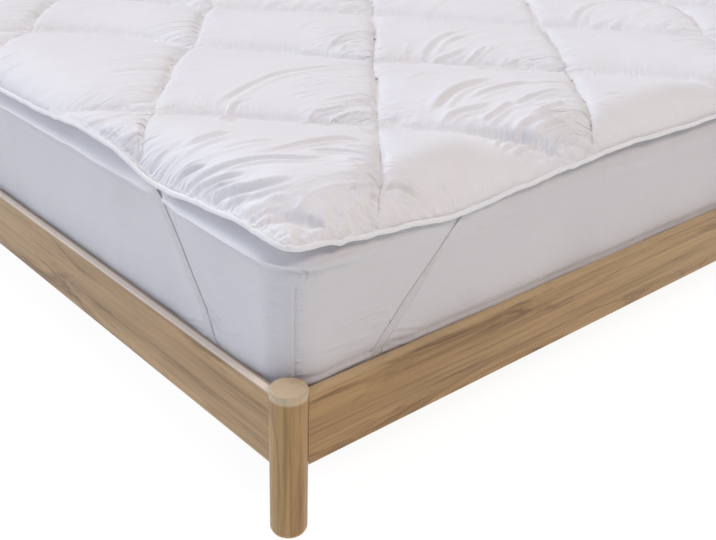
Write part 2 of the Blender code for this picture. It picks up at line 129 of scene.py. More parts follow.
# ---------------------------------------------------------------- folds, in millimetres
# Each fold: height, half width, the shares of its length over which it rises at its start and falls
# at its end, and its crest.  Its trough lies on the right of the crest's run.  The crests were picked
# by eye in the photograph; a scratch program turned them into places on the cloth.
# On the topper a place is (along the length, across the width) from the near corner.
PAD_FOLDS = (
    (1.5, 4, 0, 0.5, ((3, 317), (17, 304), (33, 286), (46, 266))),
    (2.6, 4, 0, 0.4, ((1, 308), (18, 290), (33, 269), (42, 255))),
    (1.8, 4, 0, 0.5, ((2, 285), (14, 271), (28, 251), (41, 236))),
    (2.4, 6, 0, 0.3, ((6, 270), (24, 248), (43, 227), (66, 208), (92, 186), (117, 162), (148, 139),
        (187, 131))),
    (2.8, 5.5, 0, 0.4, ((3, 246), (15, 229), (25, 216), (42, 195), (59, 172))),
    (1.6, 4, 0, 0.5, ((3, 229), (14, 214), (25, 197), (39, 175))),
    (4.2, 8, 0.05, 0.45, ((6, 200), (22, 177), (35, 152), (52, 131), (73, 116), (100, 103))),
    (2, 5, 0, 0.6, ((6, 159), (16, 148), (26, 135))),
    (1.2, 7, 0.5, 0.5, ((34, 107), (47, 93), (65, 76))),
    (3.2, 7, 0.5, 0.2, ((78, 225), (111, 204), (138, 201), (171, 198), (199, 197), (233, 193), (257, 183),
        (275, 167), (285, 151))),
    (2.2, 5, 0.3, 0.1, ((155, 173), (181, 155), (200, 141), (217, 124), (230, 103), (241, 90))),
    (1.5, 3.5, 0.4, 0.1, ((218, 156), (241, 141), (259, 129), (268, 118))),
    (1.8, 4, 0.4, 0.1, ((191, 111), (203, 94), (217, 82), (229, 74))),
    (1.3, 4, 0.5, 0.3, ((170, 84), (191, 76), (209, 73))),
    (2.4, 4, 0.4, 0.1, ((197, 77), (214, 73), (223, 67))),
    (1.3, 2.5, 0.3, 0.1, ((189, 59), (196, 53), (201, 47))),
    (1.3, 2.5, 0.3, 0.1, ((187, 52), (193, 47), (198, 41))),
    (1.3, 2.5, 0.3, 0.1, ((179, 48), (188, 43), (193, 38))),
    (3, 5, 0.05, 0.5, ((192, 31), (168, 34), (152, 35), (133, 35))),
    (2.2, 4, 0.1, 0.5, ((179, 14), (168, 18), (163, 23))),
    (2.8, 9, 0.2, 0.4, ((107, 13), (128, 20), (152, 25), (180, 27))),
    (2.4, 11, 0.4, 0.4, ((42, 355), (62, 337), (93, 325), (133, 318))),
    (1.3, 8, 0.4, 0.4, ((58, 292), (86, 264), (126, 252), (168, 242))),
    (0.8, 4, 0.4, 0.4, ((78, 454), (92, 438), (115, 427))),
    (2.2, 3.5, 0.1, 0.4, ((32, 447), (21, 449), (10, 447), (3, 445))),
    (1.6, 3, 0.1, 0.4, ((16, 422), (12, 428), (4, 428), (0, 424))),
    (1.4, 3, 0.3, 0, ((22, 512), (13, 502), (3, 493), (0, 489))),
    (1.2, 3, 0.3, 0, ((20, 529), (10, 523), (1, 518))),
    (3.2, 5.5, 0.1, 0, ((202, 36), (226, 35), (244, 28), (261, 19), (276, 12), (288, 5), (294, 0))),
    (3.8, 4, 0.3, 0, ((222, 21), (242, 15), (258, 8), (270, 2))),
    (1.6, 3, 0.3, 0, ((265, 16), (281, 9), (293, 3), (292, 0))),
    (2.1, 3, 0.3, 0, ((291, 17), (304, 10), (316, 3), (318, 0))),
    (2.4, 2.5, 0.3, 0, ((306, 15), (318, 8), (328, 1))),
    (1.5, 3, 0.4, 0, ((309, 27), (323, 19), (332, 11), (337, 4))),
    (1.5, 3, 0.4, 0, ((328, 25), (340, 18), (345, 10), (346, 3))),
    (1.3, 3, 0.4, 0, ((295, 23), (310, 17), (322, 10), (328, 4))),
    (1.3, 2.4, 0.3, 0.1, ((194, 12), (199, 7), (200, 0))),
    (1.3, 2.4, 0.3, 0.1, ((203, 11), (210, 5), (208, 0))),
    (1.1, 2.4, 0.3, 0.1, ((216, 9), (225, 5), (221, 0))),
    (1.2, 5, 0.3, 0.4, ((187, 21), (203, 18), (213, 11))),
    (1.6, 3, 0.4, 0, ((473, 14), (482, 7), (481, 0))),
    (1.1, 3, 0.4, 0, ((453, 13), (461, 6), (461, 0))),
    (0.9, 3, 0.4, 0, ((430, 13), (437, 6), (437, 1))),
    (1.2, 4, 0.4, 0, ((550, 11), (557, 5), (552, 0))),
    (2.8, 8, 0.3, 0.2, ((488, 56), (534, 72), (589, 87), (629, 84), (667, 80), (716, 74))),
    (3, 8, 0.1, 0.2, ((517, 47), (562, 56), (610, 61), (659, 61), (695, 61))),
    (2.4, 6, 0.1, 0.3, ((546, 39), (599, 51), (632, 44), (680, 36))),
    (2.4, 6, 0.2, 0.1, ((588, 29), (623, 33), (652, 29), (682, 19))),
    (2.4, 5, 0.3, 0.05, ((655, 62), (689, 61), (722, 52))),
    (2.2, 7, 0.3, 0.2, ((607, 143), (659, 152), (720, 159), (773, 157), (802, 140))),
    (2.4, 7, 0.3, 0.2, ((602, 93), (637, 98), (679, 102), (736, 104))),
    (2.8, 8, 0.2, 0.4, ((483, 186), (513, 192), (542, 190), (575, 181), (622, 182))),
    (2.8, 7, 0.2, 0.3, ((535, 143), (565, 142), (608, 152), (651, 158))),
    (1.8, 6, 0.2, 0.4, ((495, 70), (556, 103), (586, 103))),
    (3, 11, 0.2, 0.4, ((486, 220), (535, 247), (585, 267), (637, 279), (692, 283), (762, 292))),
    (2.2, 9, 0.3, 0.4, ((571, 218), (619, 227), (667, 229), (720, 230), (799, 231))),
    (1, 8, 0.4, 0.4, ((564, 377), (608, 380), (655, 385), (705, 377))),
    (1.5, 10, 0.1, 0.3, ((210, 504), (246, 512), (292, 525), (352, 543), (415, 553), (479, 547), (542, 533),
        (591, 510))),
    (2.2, 7, 0.1, 0.5, ((162, 415), (232, 475), (267, 478), (296, 479))),
    (1.4, 5, 0.1, 0.5, ((160, 396), (213, 431), (254, 458))),
    (0.9, 8, 0.4, 0.4, ((328, 435), (363, 439), (398, 436))),
    (2, 5, 0.3, 0.1, ((257, 317), (329, 359), (360, 352), (393, 343), (430, 329), (443, 319))),
    (1.7, 4.5, 0.3, 0.1, ((281, 283), (346, 323), (378, 317), (406, 302), (416, 288))),
    (1.1, 6, 0.4, 0.2, ((345, 385), (378, 383), (420, 374), (465, 354))),
    (1.8, 6, 0.3, 0.2, ((629, 688), (673, 710), (718, 720), (758, 710))),
    (1.5, 5, 0.3, 0.2, ((643, 659), (683, 679), (713, 680), (738, 666))),
    (1.6, 8, 0.3, 0.4, ((622, 807), (690, 837), (749, 853), (806, 846))),
    (1, 7, 0.3, 0.4, ((667, 759), (732, 787), (772, 787))),
    (2, 8, 0.4, 0.4, ((419, 1228), (481, 1239), (532, 1238), (563, 1209))),
    (2.2, 6, 0.4, 0.1, ((623, 1322), (644, 1286), (650, 1243), (622, 1166))),
    (1.4, 5, 0.4, 0.1, ((527, 1135), (533, 1099), (531, 1061))),
    (1.7, 5, 0.3, 0.3, ((343, 1020), (366, 994), (389, 980), (433, 974))),
    (1.4, 4, 0.4, 0.1, ((311, 825), (322, 815), (328, 797))),
    (1.4, 4, 0.4, 0.1, ((205, 694), (227, 697), (245, 696))),
    (1.3, 4, 0.4, 0.1, ((186, 654), (209, 656))),
    (1.4, 10, 0.4, 0.3, ((116, 751), (165, 762), (195, 738), (216, 704))),
    (1.2, 8, 0.4, 0.4, ((808, 96), (840, 89), (876, 76))),
    (1.2, 10, 0.4, 0.4, ((1115, 396), (1160, 377), (1276, 407))),
)

# How far the sewn lines wander off the straight grid: a place on the topper, and the part of a
# diamond by which the line there runs nearer to the camera (falling) or to the right (rising).
FALLING_WANDER = (
    (0.04, 0.67, 0.026), (0.12, 0.56, 0.042), (0.23, 0.44, 0.037), (0.32, 0.35, 0.024), (0.4, 0.26, 0.01),
    (0.46, 0.19, 0.015), (0.5, 0.13, 0.02), (0.53, 0.08, 0.03), (0.57, 0.04, 0.03), (0.64, 0, 0),
    (0.28, 1.15, -0.28), (0.35, 1.05, -0.24), (0.38, 0.97, -0.16), (0.41, 0.89, -0.09),
    (0.54, 0.75, -0.1), (0.66, 0.57, -0.04), (0.78, 0.47, -0.09), (0.91, 0.33, -0.09), (1, 0.14, -0.09),
    (0.7, 1.14, -0.05), (0.96, 0.88, -0.11), (1.27, 0.51, -0.07),
)
RISING_WANDER = (
    (0, 0.39, 0.03), (0.04, 0.46, 0), (0.1, 0.54, -0.03), (0.34, 0.82, -0.04), (0.72, 1.28, -0.075),
    (1, 0.95, -0.03), (0.67, 0.57, -0.035), (0.4, 0.26, -0.022), (0.17, 0.01, -0.03), (1.47, 0.83, 0.006),
    (1.07, 0.39, -0.01), (0.94, 0.25, -0.02), (0.79, 0.11, -0.06), (0.7, 0.01, -0.08),
)

# On the mattress's sides a place is (distance round the corner, + on the long side, and height).
SIDE_FOLDS = (
    (1.3, 2.5, 0.1, 0.5, ((-323, 454), (-312, 436), (-302, 415))),
    (1.4, 2.5, 0.1, 0.5, ((-304, 455), (-293, 437), (-284, 410))),
    (1.2, 3, 0.1, 0.5, ((-286, 452), (-276, 431), (-272, 404))),
    (1.2, 4, 0.4, 0.1, ((-388, 447), (-365, 449), (-343, 446))),
    (1.9, 4, 0.1, 0.5, ((-211, 318), (-186, 303), (-158, 291), (-122, 295), (-83, 316))),
    (1.7, 3.5, 0.1, 0.4, ((-200, 302), (-181, 287), (-162, 273), (-139, 269))),
    (1, 3.5, 0.2, 0.5, ((-204, 337), (-179, 324), (-148, 317))),
    (1.9, 3.5, 0.3, 0.1, ((-264, 263), (-229, 275), (-202, 277))),
    (1.5, 3.5, 0.3, 0.1, ((-253, 245), (-219, 253), (-192, 256))),
    (2.8, 8, 0.3, 0.1, ((47, 337), (82, 336), (122, 337), (160, 336), (190, 330))),
    (1.7, 7, 0.3, 0.1, ((111, 370), (146, 367), (184, 364), (212, 358))),
    (1.4, 5, 0.3, 0.1, ((134, 313), (166, 313), (196, 311))),
    (1.7, 4, 0.05, 0.4, ((195, 290), (229, 281), (274, 270))),
    (1.5, 3, 0.05, 0.4, ((185, 277), (221, 266), (258, 260))),
    (1, 8, 0.3, 0.4, ((30, 399), (61, 405), (100, 402))),
    (1.4, 5, 0.3, 0.4, ((702, 463), (724, 435), (742, 401))),
    (1, 7, 0.3, 0.4, ((324, 425), (373, 414), (430, 403))),
    (1, 6, 0.3, 0.4, ((104, 293), (141, 296), (167, 291))),
    (1.2, 6, 0.3, 0.4, ((393, 355), (446, 347), (499, 345))),
    (1, 7, 0.3, 0.4, ((44, 303), (79, 302), (108, 297))),
)

# In metres: where the cover's rolled shoulder lies, by the distance round the corner.
SHOULDER_RIDGE = (
    (-0.596, 0.472), (-0.536, 0.469), (-0.464, 0.468), (-0.38, 0.469), (-0.331, 0.47), (-0.295, 0.467),
    (-0.256, 0.464), (-0.213, 0.46), (-0.157, 0.459), (-0.105, 0.459), (-0.074, 0.459), (-0.05, 0.46),
    (-0.025, 0.463), (-0.01, 0.463), (0.002, 0.463), (0.012, 0.461), (0.0205, 0.458), (0.039, 0.455),
    (0.07, 0.453), (0.099, 0.449), (0.1285, 0.444), (0.19, 0.44), (0.4, 0.441),
)
# a short fold off the top of the corner seam
DART = (2.6, 3.2, 0.3, 0.2, ((10, 424), (12.5, 430), (17, 437), (17, 443), (12.5, 447), (5, 449)))
# heights of the puckers beside the corner seam
PUCKERS = (
    0.4207, 0.4142, 0.4077, 0.3995, 0.388, 0.3797, 0.3697, 0.3563, 0.3479, 0.3394, 0.3308, 0.3223, 0.3102,
    0.298, 0.287,
)
# height of the cover's hem by the distance round the corner
HEM = (
    (-0.6, 0.236), (-0.1, 0.238), (-0.03, 0.246), (0.013, 0.251), (0.064, 0.255), (0.126, 0.2565),
    (0.201, 0.2545), (0.6, 0.252),
)
# distances round the corner where the straps flatten the roll, and where the hem is gathered
STRAP_PINCHES = (-0.340, 0.322)
HEM_GATHERS = (
    0.134, 0.142, 0.151, 0.159, 0.168, 0.177, 0.185, 0.195, 0.212,
)


# ---------------------------------------------------------------- camera and light
# The photograph's camera, from the fit of the rails, the post and the quilted lines: degrees, metres,
# and the focal length on a sensor 36 mm wide.
CAMERA_PITCH, CAMERA_YAW, CAMERA_ROLL = 26.164, 42.08, 2.017
CAMERA_PLACE = (-1.7279, -1.8496, 1.0479)
CAMERA_LENS = 47.956
# Broad far lights: degrees round from +X and above the floor, strength, spread in degrees, colour.
SUNS = {
    "key": (98, 30, 1.80, 30, (0.886, 0.924, 1.0)),
    "left_window": (174, 27, 0.86, 40, (0.720, 0.790, 1.0)),
    "right_lamp": (300, 50, 1.50, 24, (1.0, 0.862, 0.785)),
    "overhead": (0, 90, 0.80, 26, (0.900, 0.955, 1.0)),
}
FLOOR_REACH = 30


def add_camera():
    pitch, yaw, roll = [math.radians(angle) for angle in (CAMERA_PITCH, CAMERA_YAW, CAMERA_ROLL)]
    forward = Vector((math.sin(yaw) * math.cos(pitch), math.cos(yaw) * math.cos(pitch), -math.sin(pitch)))
    right = Vector((math.cos(yaw), -math.sin(yaw), 0.0))
    up = right.cross(forward)
    turned_right = math.cos(roll) * right + math.sin(roll) * up
    turned_up = -math.sin(roll) * right + math.cos(roll) * up
    data = bpy.data.cameras.new("camera")
    data.sensor_width = 36.0
    data.lens = CAMERA_LENS
    data.clip_start = 0.05
    data.clip_end = 100.0
    camera = bpy.data.objects.new("camera", data)
    matrix = Matrix((turned_right, turned_up, -forward)).transposed().to_4x4()
    matrix.translation = CAMERA_PLACE
    camera.matrix_world = matrix
    bpy.context.scene.collection.objects.link(camera)
    bpy.context.scene.camera = camera


def add_sun(name, round_from_x, above, strength, spread, colour):
    data = bpy.data.lights.new(name, "SUN")
    data.energy = strength
    data.angle = math.radians(spread)
    data.color = colour
    light = bpy.data.objects.new(name, data)
    turn, rise = math.radians(round_from_x), math.radians(above)
    light.location = (math.cos(turn) * math.cos(rise), math.sin(turn) * math.cos(rise), math.sin(rise))
    light.rotation_euler = (-light.location).to_track_quat("-Z", "Y").to_euler()
    bpy.context.scene.collection.objects.link(light)


def add_light():
    scene = bpy.context.scene
    scene.view_settings.view_transform = "Standard"
    scene.view_settings.look = "None"
    world = bpy.data.worlds.new("studio")
    world.use_nodes = True
    background = world.node_tree.nodes["Background"]
    background.inputs["Color"].default_value = (0.99, 0.99, 1.0, 1.0)
    background.inputs["Strength"].default_value = 0.05
    scene.world = world
    for name, sun in SUNS.items():
        add_sun(name, *sun)


def add_floor():
    mesh = bpy.data.meshes.new("floor")
    corners = [(x * FLOOR_REACH, y * FLOOR_REACH, 0) for x, y in ((-1, -1), (1, -1), (1, 1), (-1, 1))]
    mesh.from_pydata(corners, [], [(0, 1, 2, 3)])
    material = bpy.data.materials.new("floor")
    material.use_nodes = True
    shader = material.node_tree.nodes["Principled BSDF"]
    values = {"Base Color": (0.20, 0.20, 0.20, 1.0), "Roughness": 0.9, "Emission Color": (1.0, 1.0, 1.0, 1.0),
              "Emission Strength": 0.90, "Specular IOR Level": 0.1}
    for key, value in values.items():
        shader.inputs[key].default_value = value
    mesh.materials.append(material)
    floor = bpy.data.objects.new("floor", mesh)
    bpy.context.scene.collection.objects.link(floor)


# ---------------------------------------------------------------- numbers that vary evenly
def lattice(ix, iy, seed):
    """An even number from -1 to 1 for every pair of whole numbers."""
    h = (ix * 374761393 + iy * 668265263 + seed * 974711) & 0xFFFFFFFF
    h = ((h ^ (h >> 13)) * 1274126177) & 0xFFFFFFFF
    return ((h ^ (h >> 16)) & 0xFFFF) / 32767.5 - 1.0


def noise(x, y, seed):
    """Smooth value noise from -1 to 1, the same in every run."""
    x, y = np.broadcast_arrays(np.asarray(x, float), np.asarray(y, float))
    fx, fy = np.floor(x), np.floor(y)
    ix, iy = fx.astype(np.int64), fy.astype(np.int64)
    u, v = x - fx, y - fy
    u = u * u * u * (u * (6 * u - 15) + 10)
    v = v * v * v * (v * (6 * v - 15) + 10)
    low = lattice(ix, iy, seed) * (1 - u) + lattice(ix + 1, iy, seed) * u
    high = lattice(ix, iy + 1, seed) * (1 - u) + lattice(ix + 1, iy + 1, seed) * u
    return low * (1 - v) + high * v


def folds(along, across, seed):
    """Soft ridges with narrower troughs, running across."""
    first = noise(along, across, seed)
    second = noise(along * 1.9 + 7.3, across * 1.6, seed + 11)
    mixed = 0.72 * first + 0.42 * second
    return mixed - 0.35 * np.abs(mixed) - 0.05


def smooth(low, high, value):
    share = np.clip((value - low) / (high - low), 0.0, 1.0)     # high may be below low
    return share * share * (3.0 - 2.0 * share)


def bell(value, width):
    return np.exp(-(value / width) ** 2)


def spot(first, second, width):
    return np.exp(-(first ** 2 + second ** 2) / width ** 2)


def fade(distance, reach):
    return np.exp(-distance / reach)


def through(line):
    """More points on a smooth curve through a fold's points."""
    line = np.asarray(line)
    ends = np.vstack((2 * line[0] - line[1], line, 2 * line[-1] - line[-2]))
    points = []
    for k in range(1, len(ends) - 2):
        a, b, c, d = ends[k - 1:k + 3]
        for u in np.arange(CURVE_STEPS) / CURVE_STEPS:
            points.append(0.5 * (2 * b + (c - a) * u + (2 * a - 5 * b + 4 * c - d) * u ** 2
                                 + (3 * b - a - 3 * c + d) * u ** 3))
    return np.array(points + [line[-1]])


def in_metres(rows):
    """The rows in metres, with half widths drawn in to what the rendered folds need."""
    return tuple((height / 1000, width * FOLD_NARROWING / 1000, start, end,
                  tuple((first / 1000, second / 1000) for first, second in line))
                 for height, width, start, end, line in rows)


def fold_relief(across, up, rows, least):
    """Height that the placed folds add at each point; least is the finest half width the mesh can show."""
    relief = np.zeros_like(across)
    for height, width, start, end, line in rows:
        curve = through(line)
        reach = 7.0 * max(width, FOLD_LEAST_REACH)
        low, high = curve.min(0) - reach, curve.max(0) + reach
        here = np.nonzero((across > low[0]) & (across < high[0]) & (up > low[1]) & (up < high[1]))[0]
        if not len(here):
            continue
        px, py = across[here], up[here]
        best = np.full(len(here), 1e9)
        sided, run = np.zeros(len(here)), np.zeros(len(here))
        length = 0.0
        for (x0, y0), (x1, y1) in zip(curve, curve[1:]):
            dx, dy = x1 - x0, y1 - y0
            piece = math.hypot(dx, dy)
            share = np.clip(((px - x0) * dx + (py - y0) * dy) / piece ** 2, 0.0, 1.0)
            away = np.hypot(px - x0 - share * dx, py - y0 - share * dy)
            nearer = away < best
            turned = ((px - x0) * dy - (py - y0) * dx) / piece
            best = np.where(nearer, away, best)
            sided = np.where(nearer, np.where(turned >= 0, away, -away), sided)
            run = np.where(nearer, length + share * piece, run)
            length += piece
        wide = np.maximum(width, least[here])
        taper = np.ones(len(here))
        if start > 0:
            taper *= smooth(0.0, start * length, run)
        if end > 0:
            taper *= smooth(0.0, end * length, length - run)
        q = sided / wide
        form = (np.exp(-q ** 2) - 0.60 * np.exp(-(q - 1.6) ** 2) + 0.42 * np.exp(-(q - 3.2) ** 2)
                - 0.26 * np.exp(-(q - 4.7) ** 2))
        relief[here] += height * taper * form * np.minimum(1.0, width / wide * 1.15)
    return relief


# ---------------------------------------------------------------- mesh helpers
def mesh_object(name, points, faces, material):
    mesh = bpy.data.meshes.new(name)
    mesh.from_pydata(points, [], faces)
    mesh.validate()
    mesh.shade_smooth()
    mesh.materials.append(material)
    obj = bpy.data.objects.new(name, mesh)
    bpy.context.scene.collection.objects.link(obj)
    return obj


def store(mesh, name, *values):
    """Three numbers at every point, which the cloth's material reads."""
    layer = mesh.attributes.new(name, "FLOAT_VECTOR", "POINT")
    layer.data.foreach_set("vector", np.stack(values, 1).astype(np.float32).reshape(-1))


# ---------------------------------------------------------------- the topper's form
def edge_height(near_x, near_y):
    """Height of the topper's edge nearest to a point, smooth through the measured rows."""
    def along(rows, distance):
        height = np.full_like(distance, rows[-1][1])
        for (low, first), (high, second) in reversed(list(zip(rows, rows[1:]))):
            between = first + (second - first) * smooth(low, high, distance)
            height = np.where(distance <= high, between, height)
        return height
    long_share = long_side_share(near_x, near_y)
    return along(EDGE_SHORT_SIDE, near_y) * (1 - long_share) + along(EDGE_LONG_SIDE, near_x) * long_share


def from_sides(s, t):
    """Distances of the cloth's point from the nearer short side and from the nearer long side."""
    return np.minimum(s, TOPPER_LENGTH - s), np.minimum(t, TOPPER_WIDTH - t)


def long_side_share(near_x, near_y):
    """1 where the long side's edge is nearer, 0 where the short side's is, blended on the diagonal."""
    blend = 0.012 + 0.45 * np.minimum(near_x, near_y)
    return smooth(-blend, blend, near_x - near_y)


def roll(distance, reach):
    return 1.0 - (1.0 - np.clip(distance / reach, 0.0, 1.0)) ** 2


def plan(s, t):
    """Where the cloth's point s along the length and t across the width lies in plan."""
    near_x, near_y = from_sides(s, t)
    radius = TOPPER_CORNER_RADIUS
    across = np.clip(1.0 - near_x / radius, 0.0, 1.0)
    along = np.clip(1.0 - near_y / radius, 0.0, 1.0)
    corner = (near_x < radius) & (near_y < radius)
    in_x = np.where(corner, radius * (1.0 - across * np.sqrt(1.0 - along ** 2 / 2)), near_x)
    in_y = np.where(corner, radius * (1.0 - along * np.sqrt(1.0 - across ** 2 / 2)), near_y)
    side_x = np.where(s > TOPPER_LENGTH / 2, 1.0, -1.0)
    side_y = np.where(t > TOPPER_WIDTH / 2, 1.0, -1.0)
    return side_x * (TOPPER_LENGTH / 2 - in_x), side_y * (TOPPER_WIDTH / 2 - in_y)


def wander(s, t, rows):
    """The placed rows, blended smoothly between them and fading to nothing away from them."""
    total, weights = np.zeros_like(s), np.full_like(s, 0.02)
    for row_s, row_t, shift in rows:
        weight = spot(s - row_s, t - row_t, 0.085)
        wide = 0.06 * spot(s - row_s, t - row_t, 0.25)
        total += (weight + wide) * shift
        weights += weight + wide
    return total / weights


def seam_counts(s, t):
    """How many diamonds a point lies past the first falling and the middle rising seam."""
    sway = 0.0035 * noise(s / 0.11, t / 0.11, 3) * PHASE_STEP
    falling = s * PHASE_X + t * PHASE_Y - FALLING_SEAM / CELLS_PER_DIAMOND
    rising = t * PHASE_Y - s * PHASE_X - RISING_SEAM / CELLS_PER_DIAMOND
    # the short seam behind the corner nearest the camera bulges away from it and ends closer to it
    falling += 0.040 * spot(s, t - 0.090, 0.032)
    falling -= 0.016 * spot(s - 0.058, t - 0.044, 0.034)
    return falling + sway + wander(s, t, FALLING_WANDER), rising + sway + wander(s, t, RISING_WANDER)


def seam_place(s, t):
    """Signed distance to the nearest falling and rising seam, their numbers, and the place along them."""
    falling, rising = seam_counts(s, t)
    near_f, near_r = np.round(falling), np.round(rising)
    return ((falling - near_f) * SEAM_SPACING, near_f, -SEAM_NY * s + SEAM_NX * t,
            (rising - near_r) * SEAM_SPACING, near_r, SEAM_NY * s + SEAM_NX * t)


def sink(near_x, near_y):
    """How far the mattress's top gives way under the topper beside its sides."""
    def side(inside):
        return 0.012 * bell(np.minimum(np.maximum(inside, 0.0), 0.0675), 0.060)
    return side(near_x) + side(near_y) + 0.006 * spot(near_x, near_y, 0.075)


def pad_height(s, t):
    """Height of the topper's upper cloth without its wrinkles."""
    near_x, near_y = from_sides(s, t)
    inside = np.minimum(near_x, near_y)
    d_f, n_f, a_f, d_r, _, _ = seam_place(s, t)
    edge = edge_height(near_x, near_y) + TOPPER_EDGE_THICKNESS / 2
    past = seam_counts(s, t)[0] * SEAM_SPACING
    dome = DOME_RISE * smooth(0.36, 1.5, past) * smooth(0.0, 1.1, 2.63 - past)
    climb = 0.08 + 0.57 * smooth(-0.001, 0.010, past) + 0.35 * smooth(0.0, 0.11, past)
    corner = spot(near_x, near_y, 0.13)
    # along the near long side the second diamond lies slack
    slack = smooth(0.30, 0.55, s) * (t < TOPPER_WIDTH / 2) * smooth(0.016, -0.002, past - SEAM_SPACING)
    second = np.abs(past - 1.5 * SEAM_SPACING) < 0.5 * SEAM_SPACING
    slack_end = smooth(0.40, 0.52, s) * smooth(0.24, 0.10, t) * second
    base = ((SEAM_HEIGHT + dome - edge) * roll(near_x, SEAM_ROLL - 0.055 * corner)
            * roll(near_y, 0.080 + 0.09 * slack - 0.025 * corner) * climb)
    beyond = np.where(d_f > 0, d_f, SEAM_SPACING + d_f)
    before = SEAM_SPACING - beyond
    coarse = smooth(0.0045, 0.0085, grid_step(s, t))
    wall = 0.22 + 0.10 * slack_end
    crown = 1.0 - wall * fade(beyond, 0.011 + 0.010 * coarse) - (1.0 - wall) * fade(beyond, 0.065)
    crown *= 1.0 - (1.0 - np.minimum(before / np.where(past > 0, 0.25, 0.030), 1.0)) ** 2
    crown *= 1.0 - 0.36 * fade(np.abs(d_r), 0.009) - 0.20 * fade(np.abs(d_r), 0.055)
    crown *= 1.0 - 0.70 * fade(inside, 0.020) - 0.30 * fade(inside, 0.052)
    full = PUFF_RISE * (1.06 + 0.06 * noise(s / 0.21, t / 0.21, 5))
    full *= 0.45 + 0.55 * smooth(-0.008, 0.004, past)
    stitch = 0.0042 + 0.0050 * coarse
    stitched = bell(d_f, stitch) + 0.6 * bell(d_r, stitch)
    height = edge + base + full * crown
    height += 0.0014 * noise(s / 0.055, t / 0.055, 8) * crown
    scallop = bell(d_f - 0.014, 0.014) * (1.0 - smooth(0.08, 0.22, inside)) * (past < 0.2)
    height += 0.0075 * noise(a_f / 0.0125, 0.5 + 3.7 * n_f, 12) * scallop * smooth(0.0, 0.02, inside)
    # the tucked corner's little pillow, and a lump beside the left edge
    pillow = np.exp(-((s - 0.073) / 0.023) ** 2 - ((t - 0.010) / 0.017) ** 2)
    height += 0.0105 * pillow * smooth(0.0, -0.005, past) * smooth(0.0, 0.006, inside)
    height += 0.0045 * spot(s - 0.112, t - 0.557, 0.011)
    height -= STITCH_DEPTH * np.clip(stitched, 0.0, 1.0) * smooth(0.0, 0.03, inside)
    height -= 0.0022 * bell(inside - 0.0040, 0.0030)
    return np.where(inside > 1e-9, np.maximum(height, pad_bottom(s, t) + CLOTH_LEAST), height)


def diamond(s, t):
    return (math.floor(s * PHASE_X + t * PHASE_Y - FALLING_SEAM / CELLS_PER_DIAMOND),
            math.floor(t * PHASE_Y - s * PHASE_X - RISING_SEAM / CELLS_PER_DIAMOND))


def all_pad_folds():
    """The placed folds, and the folds of two whole diamonds again, each time a little different, in
    the diamonds that the photograph doesn't show."""
    placed = {}
    folds_shown = in_metres(PAD_FOLDS)
    for row in folds_shown:
        middle = row[4][len(row[4]) // 2]
        placed.setdefault(diamond(*middle), []).append(row)
    rows = list(folds_shown)
    for falling in range(-1, 8):
        for rising in range(-5, 5):
            if (falling, rising) in placed:
                continue
            source = (1, -1) if (falling + rising) % 2 else (1, 0)
            step_f, step_r = falling - source[0], rising - source[1]
            move_s = (step_f - step_r) / 2 / PHASE_X
            move_t = (step_f + step_r) / 2 / PHASE_Y
            for number, (height, width, start, end, line) in enumerate(placed[source]):
                change = [float(lattice(np.int64(falling * 31 + number), np.int64(rising * 17 + k), 90))
                          for k in range(3)]
                moved = tuple((s + move_s + 0.010 * change[0], t + move_t + 0.010 * change[1])
                              for s, t in line)
                middle = moved[len(moved) // 2]
                if -0.05 < middle[0] < TOPPER_LENGTH + 0.05 and -0.05 < middle[1] < TOPPER_WIDTH + 0.05:
                    rows.append((height * (0.60 + 0.20 * change[2]), width, start, end, moved))
    return rows


def cell_split(a, b):
    """How finely a cell of the topper's grid is divided: finest beside the corner nearest the camera."""
    s = (a + 0.5) * TOPPER_LENGTH / GRID_X
    t = (b + 0.5) * TOPPER_WIDTH / GRID_Y
    if s < 0.38 and t < 0.36 or (t < 0.030 and s < 0.70) or (s < 0.030 and t < 0.66):
        return FINEST
    if s < 0.92 and t < 0.74:
        return 2
    return 1


CELL_SPLITS = np.array([[cell_split(a, b) for b in range(GRID_Y)] for a in range(GRID_X)])


def grid_step(s, t):
    """Spacing of the topper's grid at a point."""
    a = np.clip((s / TOPPER_LENGTH * GRID_X).astype(int), 0, GRID_X - 1)
    b = np.clip((t / TOPPER_WIDTH * GRID_Y).astype(int), 0, GRID_Y - 1)
    return TOPPER_LENGTH / GRID_X / CELL_SPLITS[a, b]


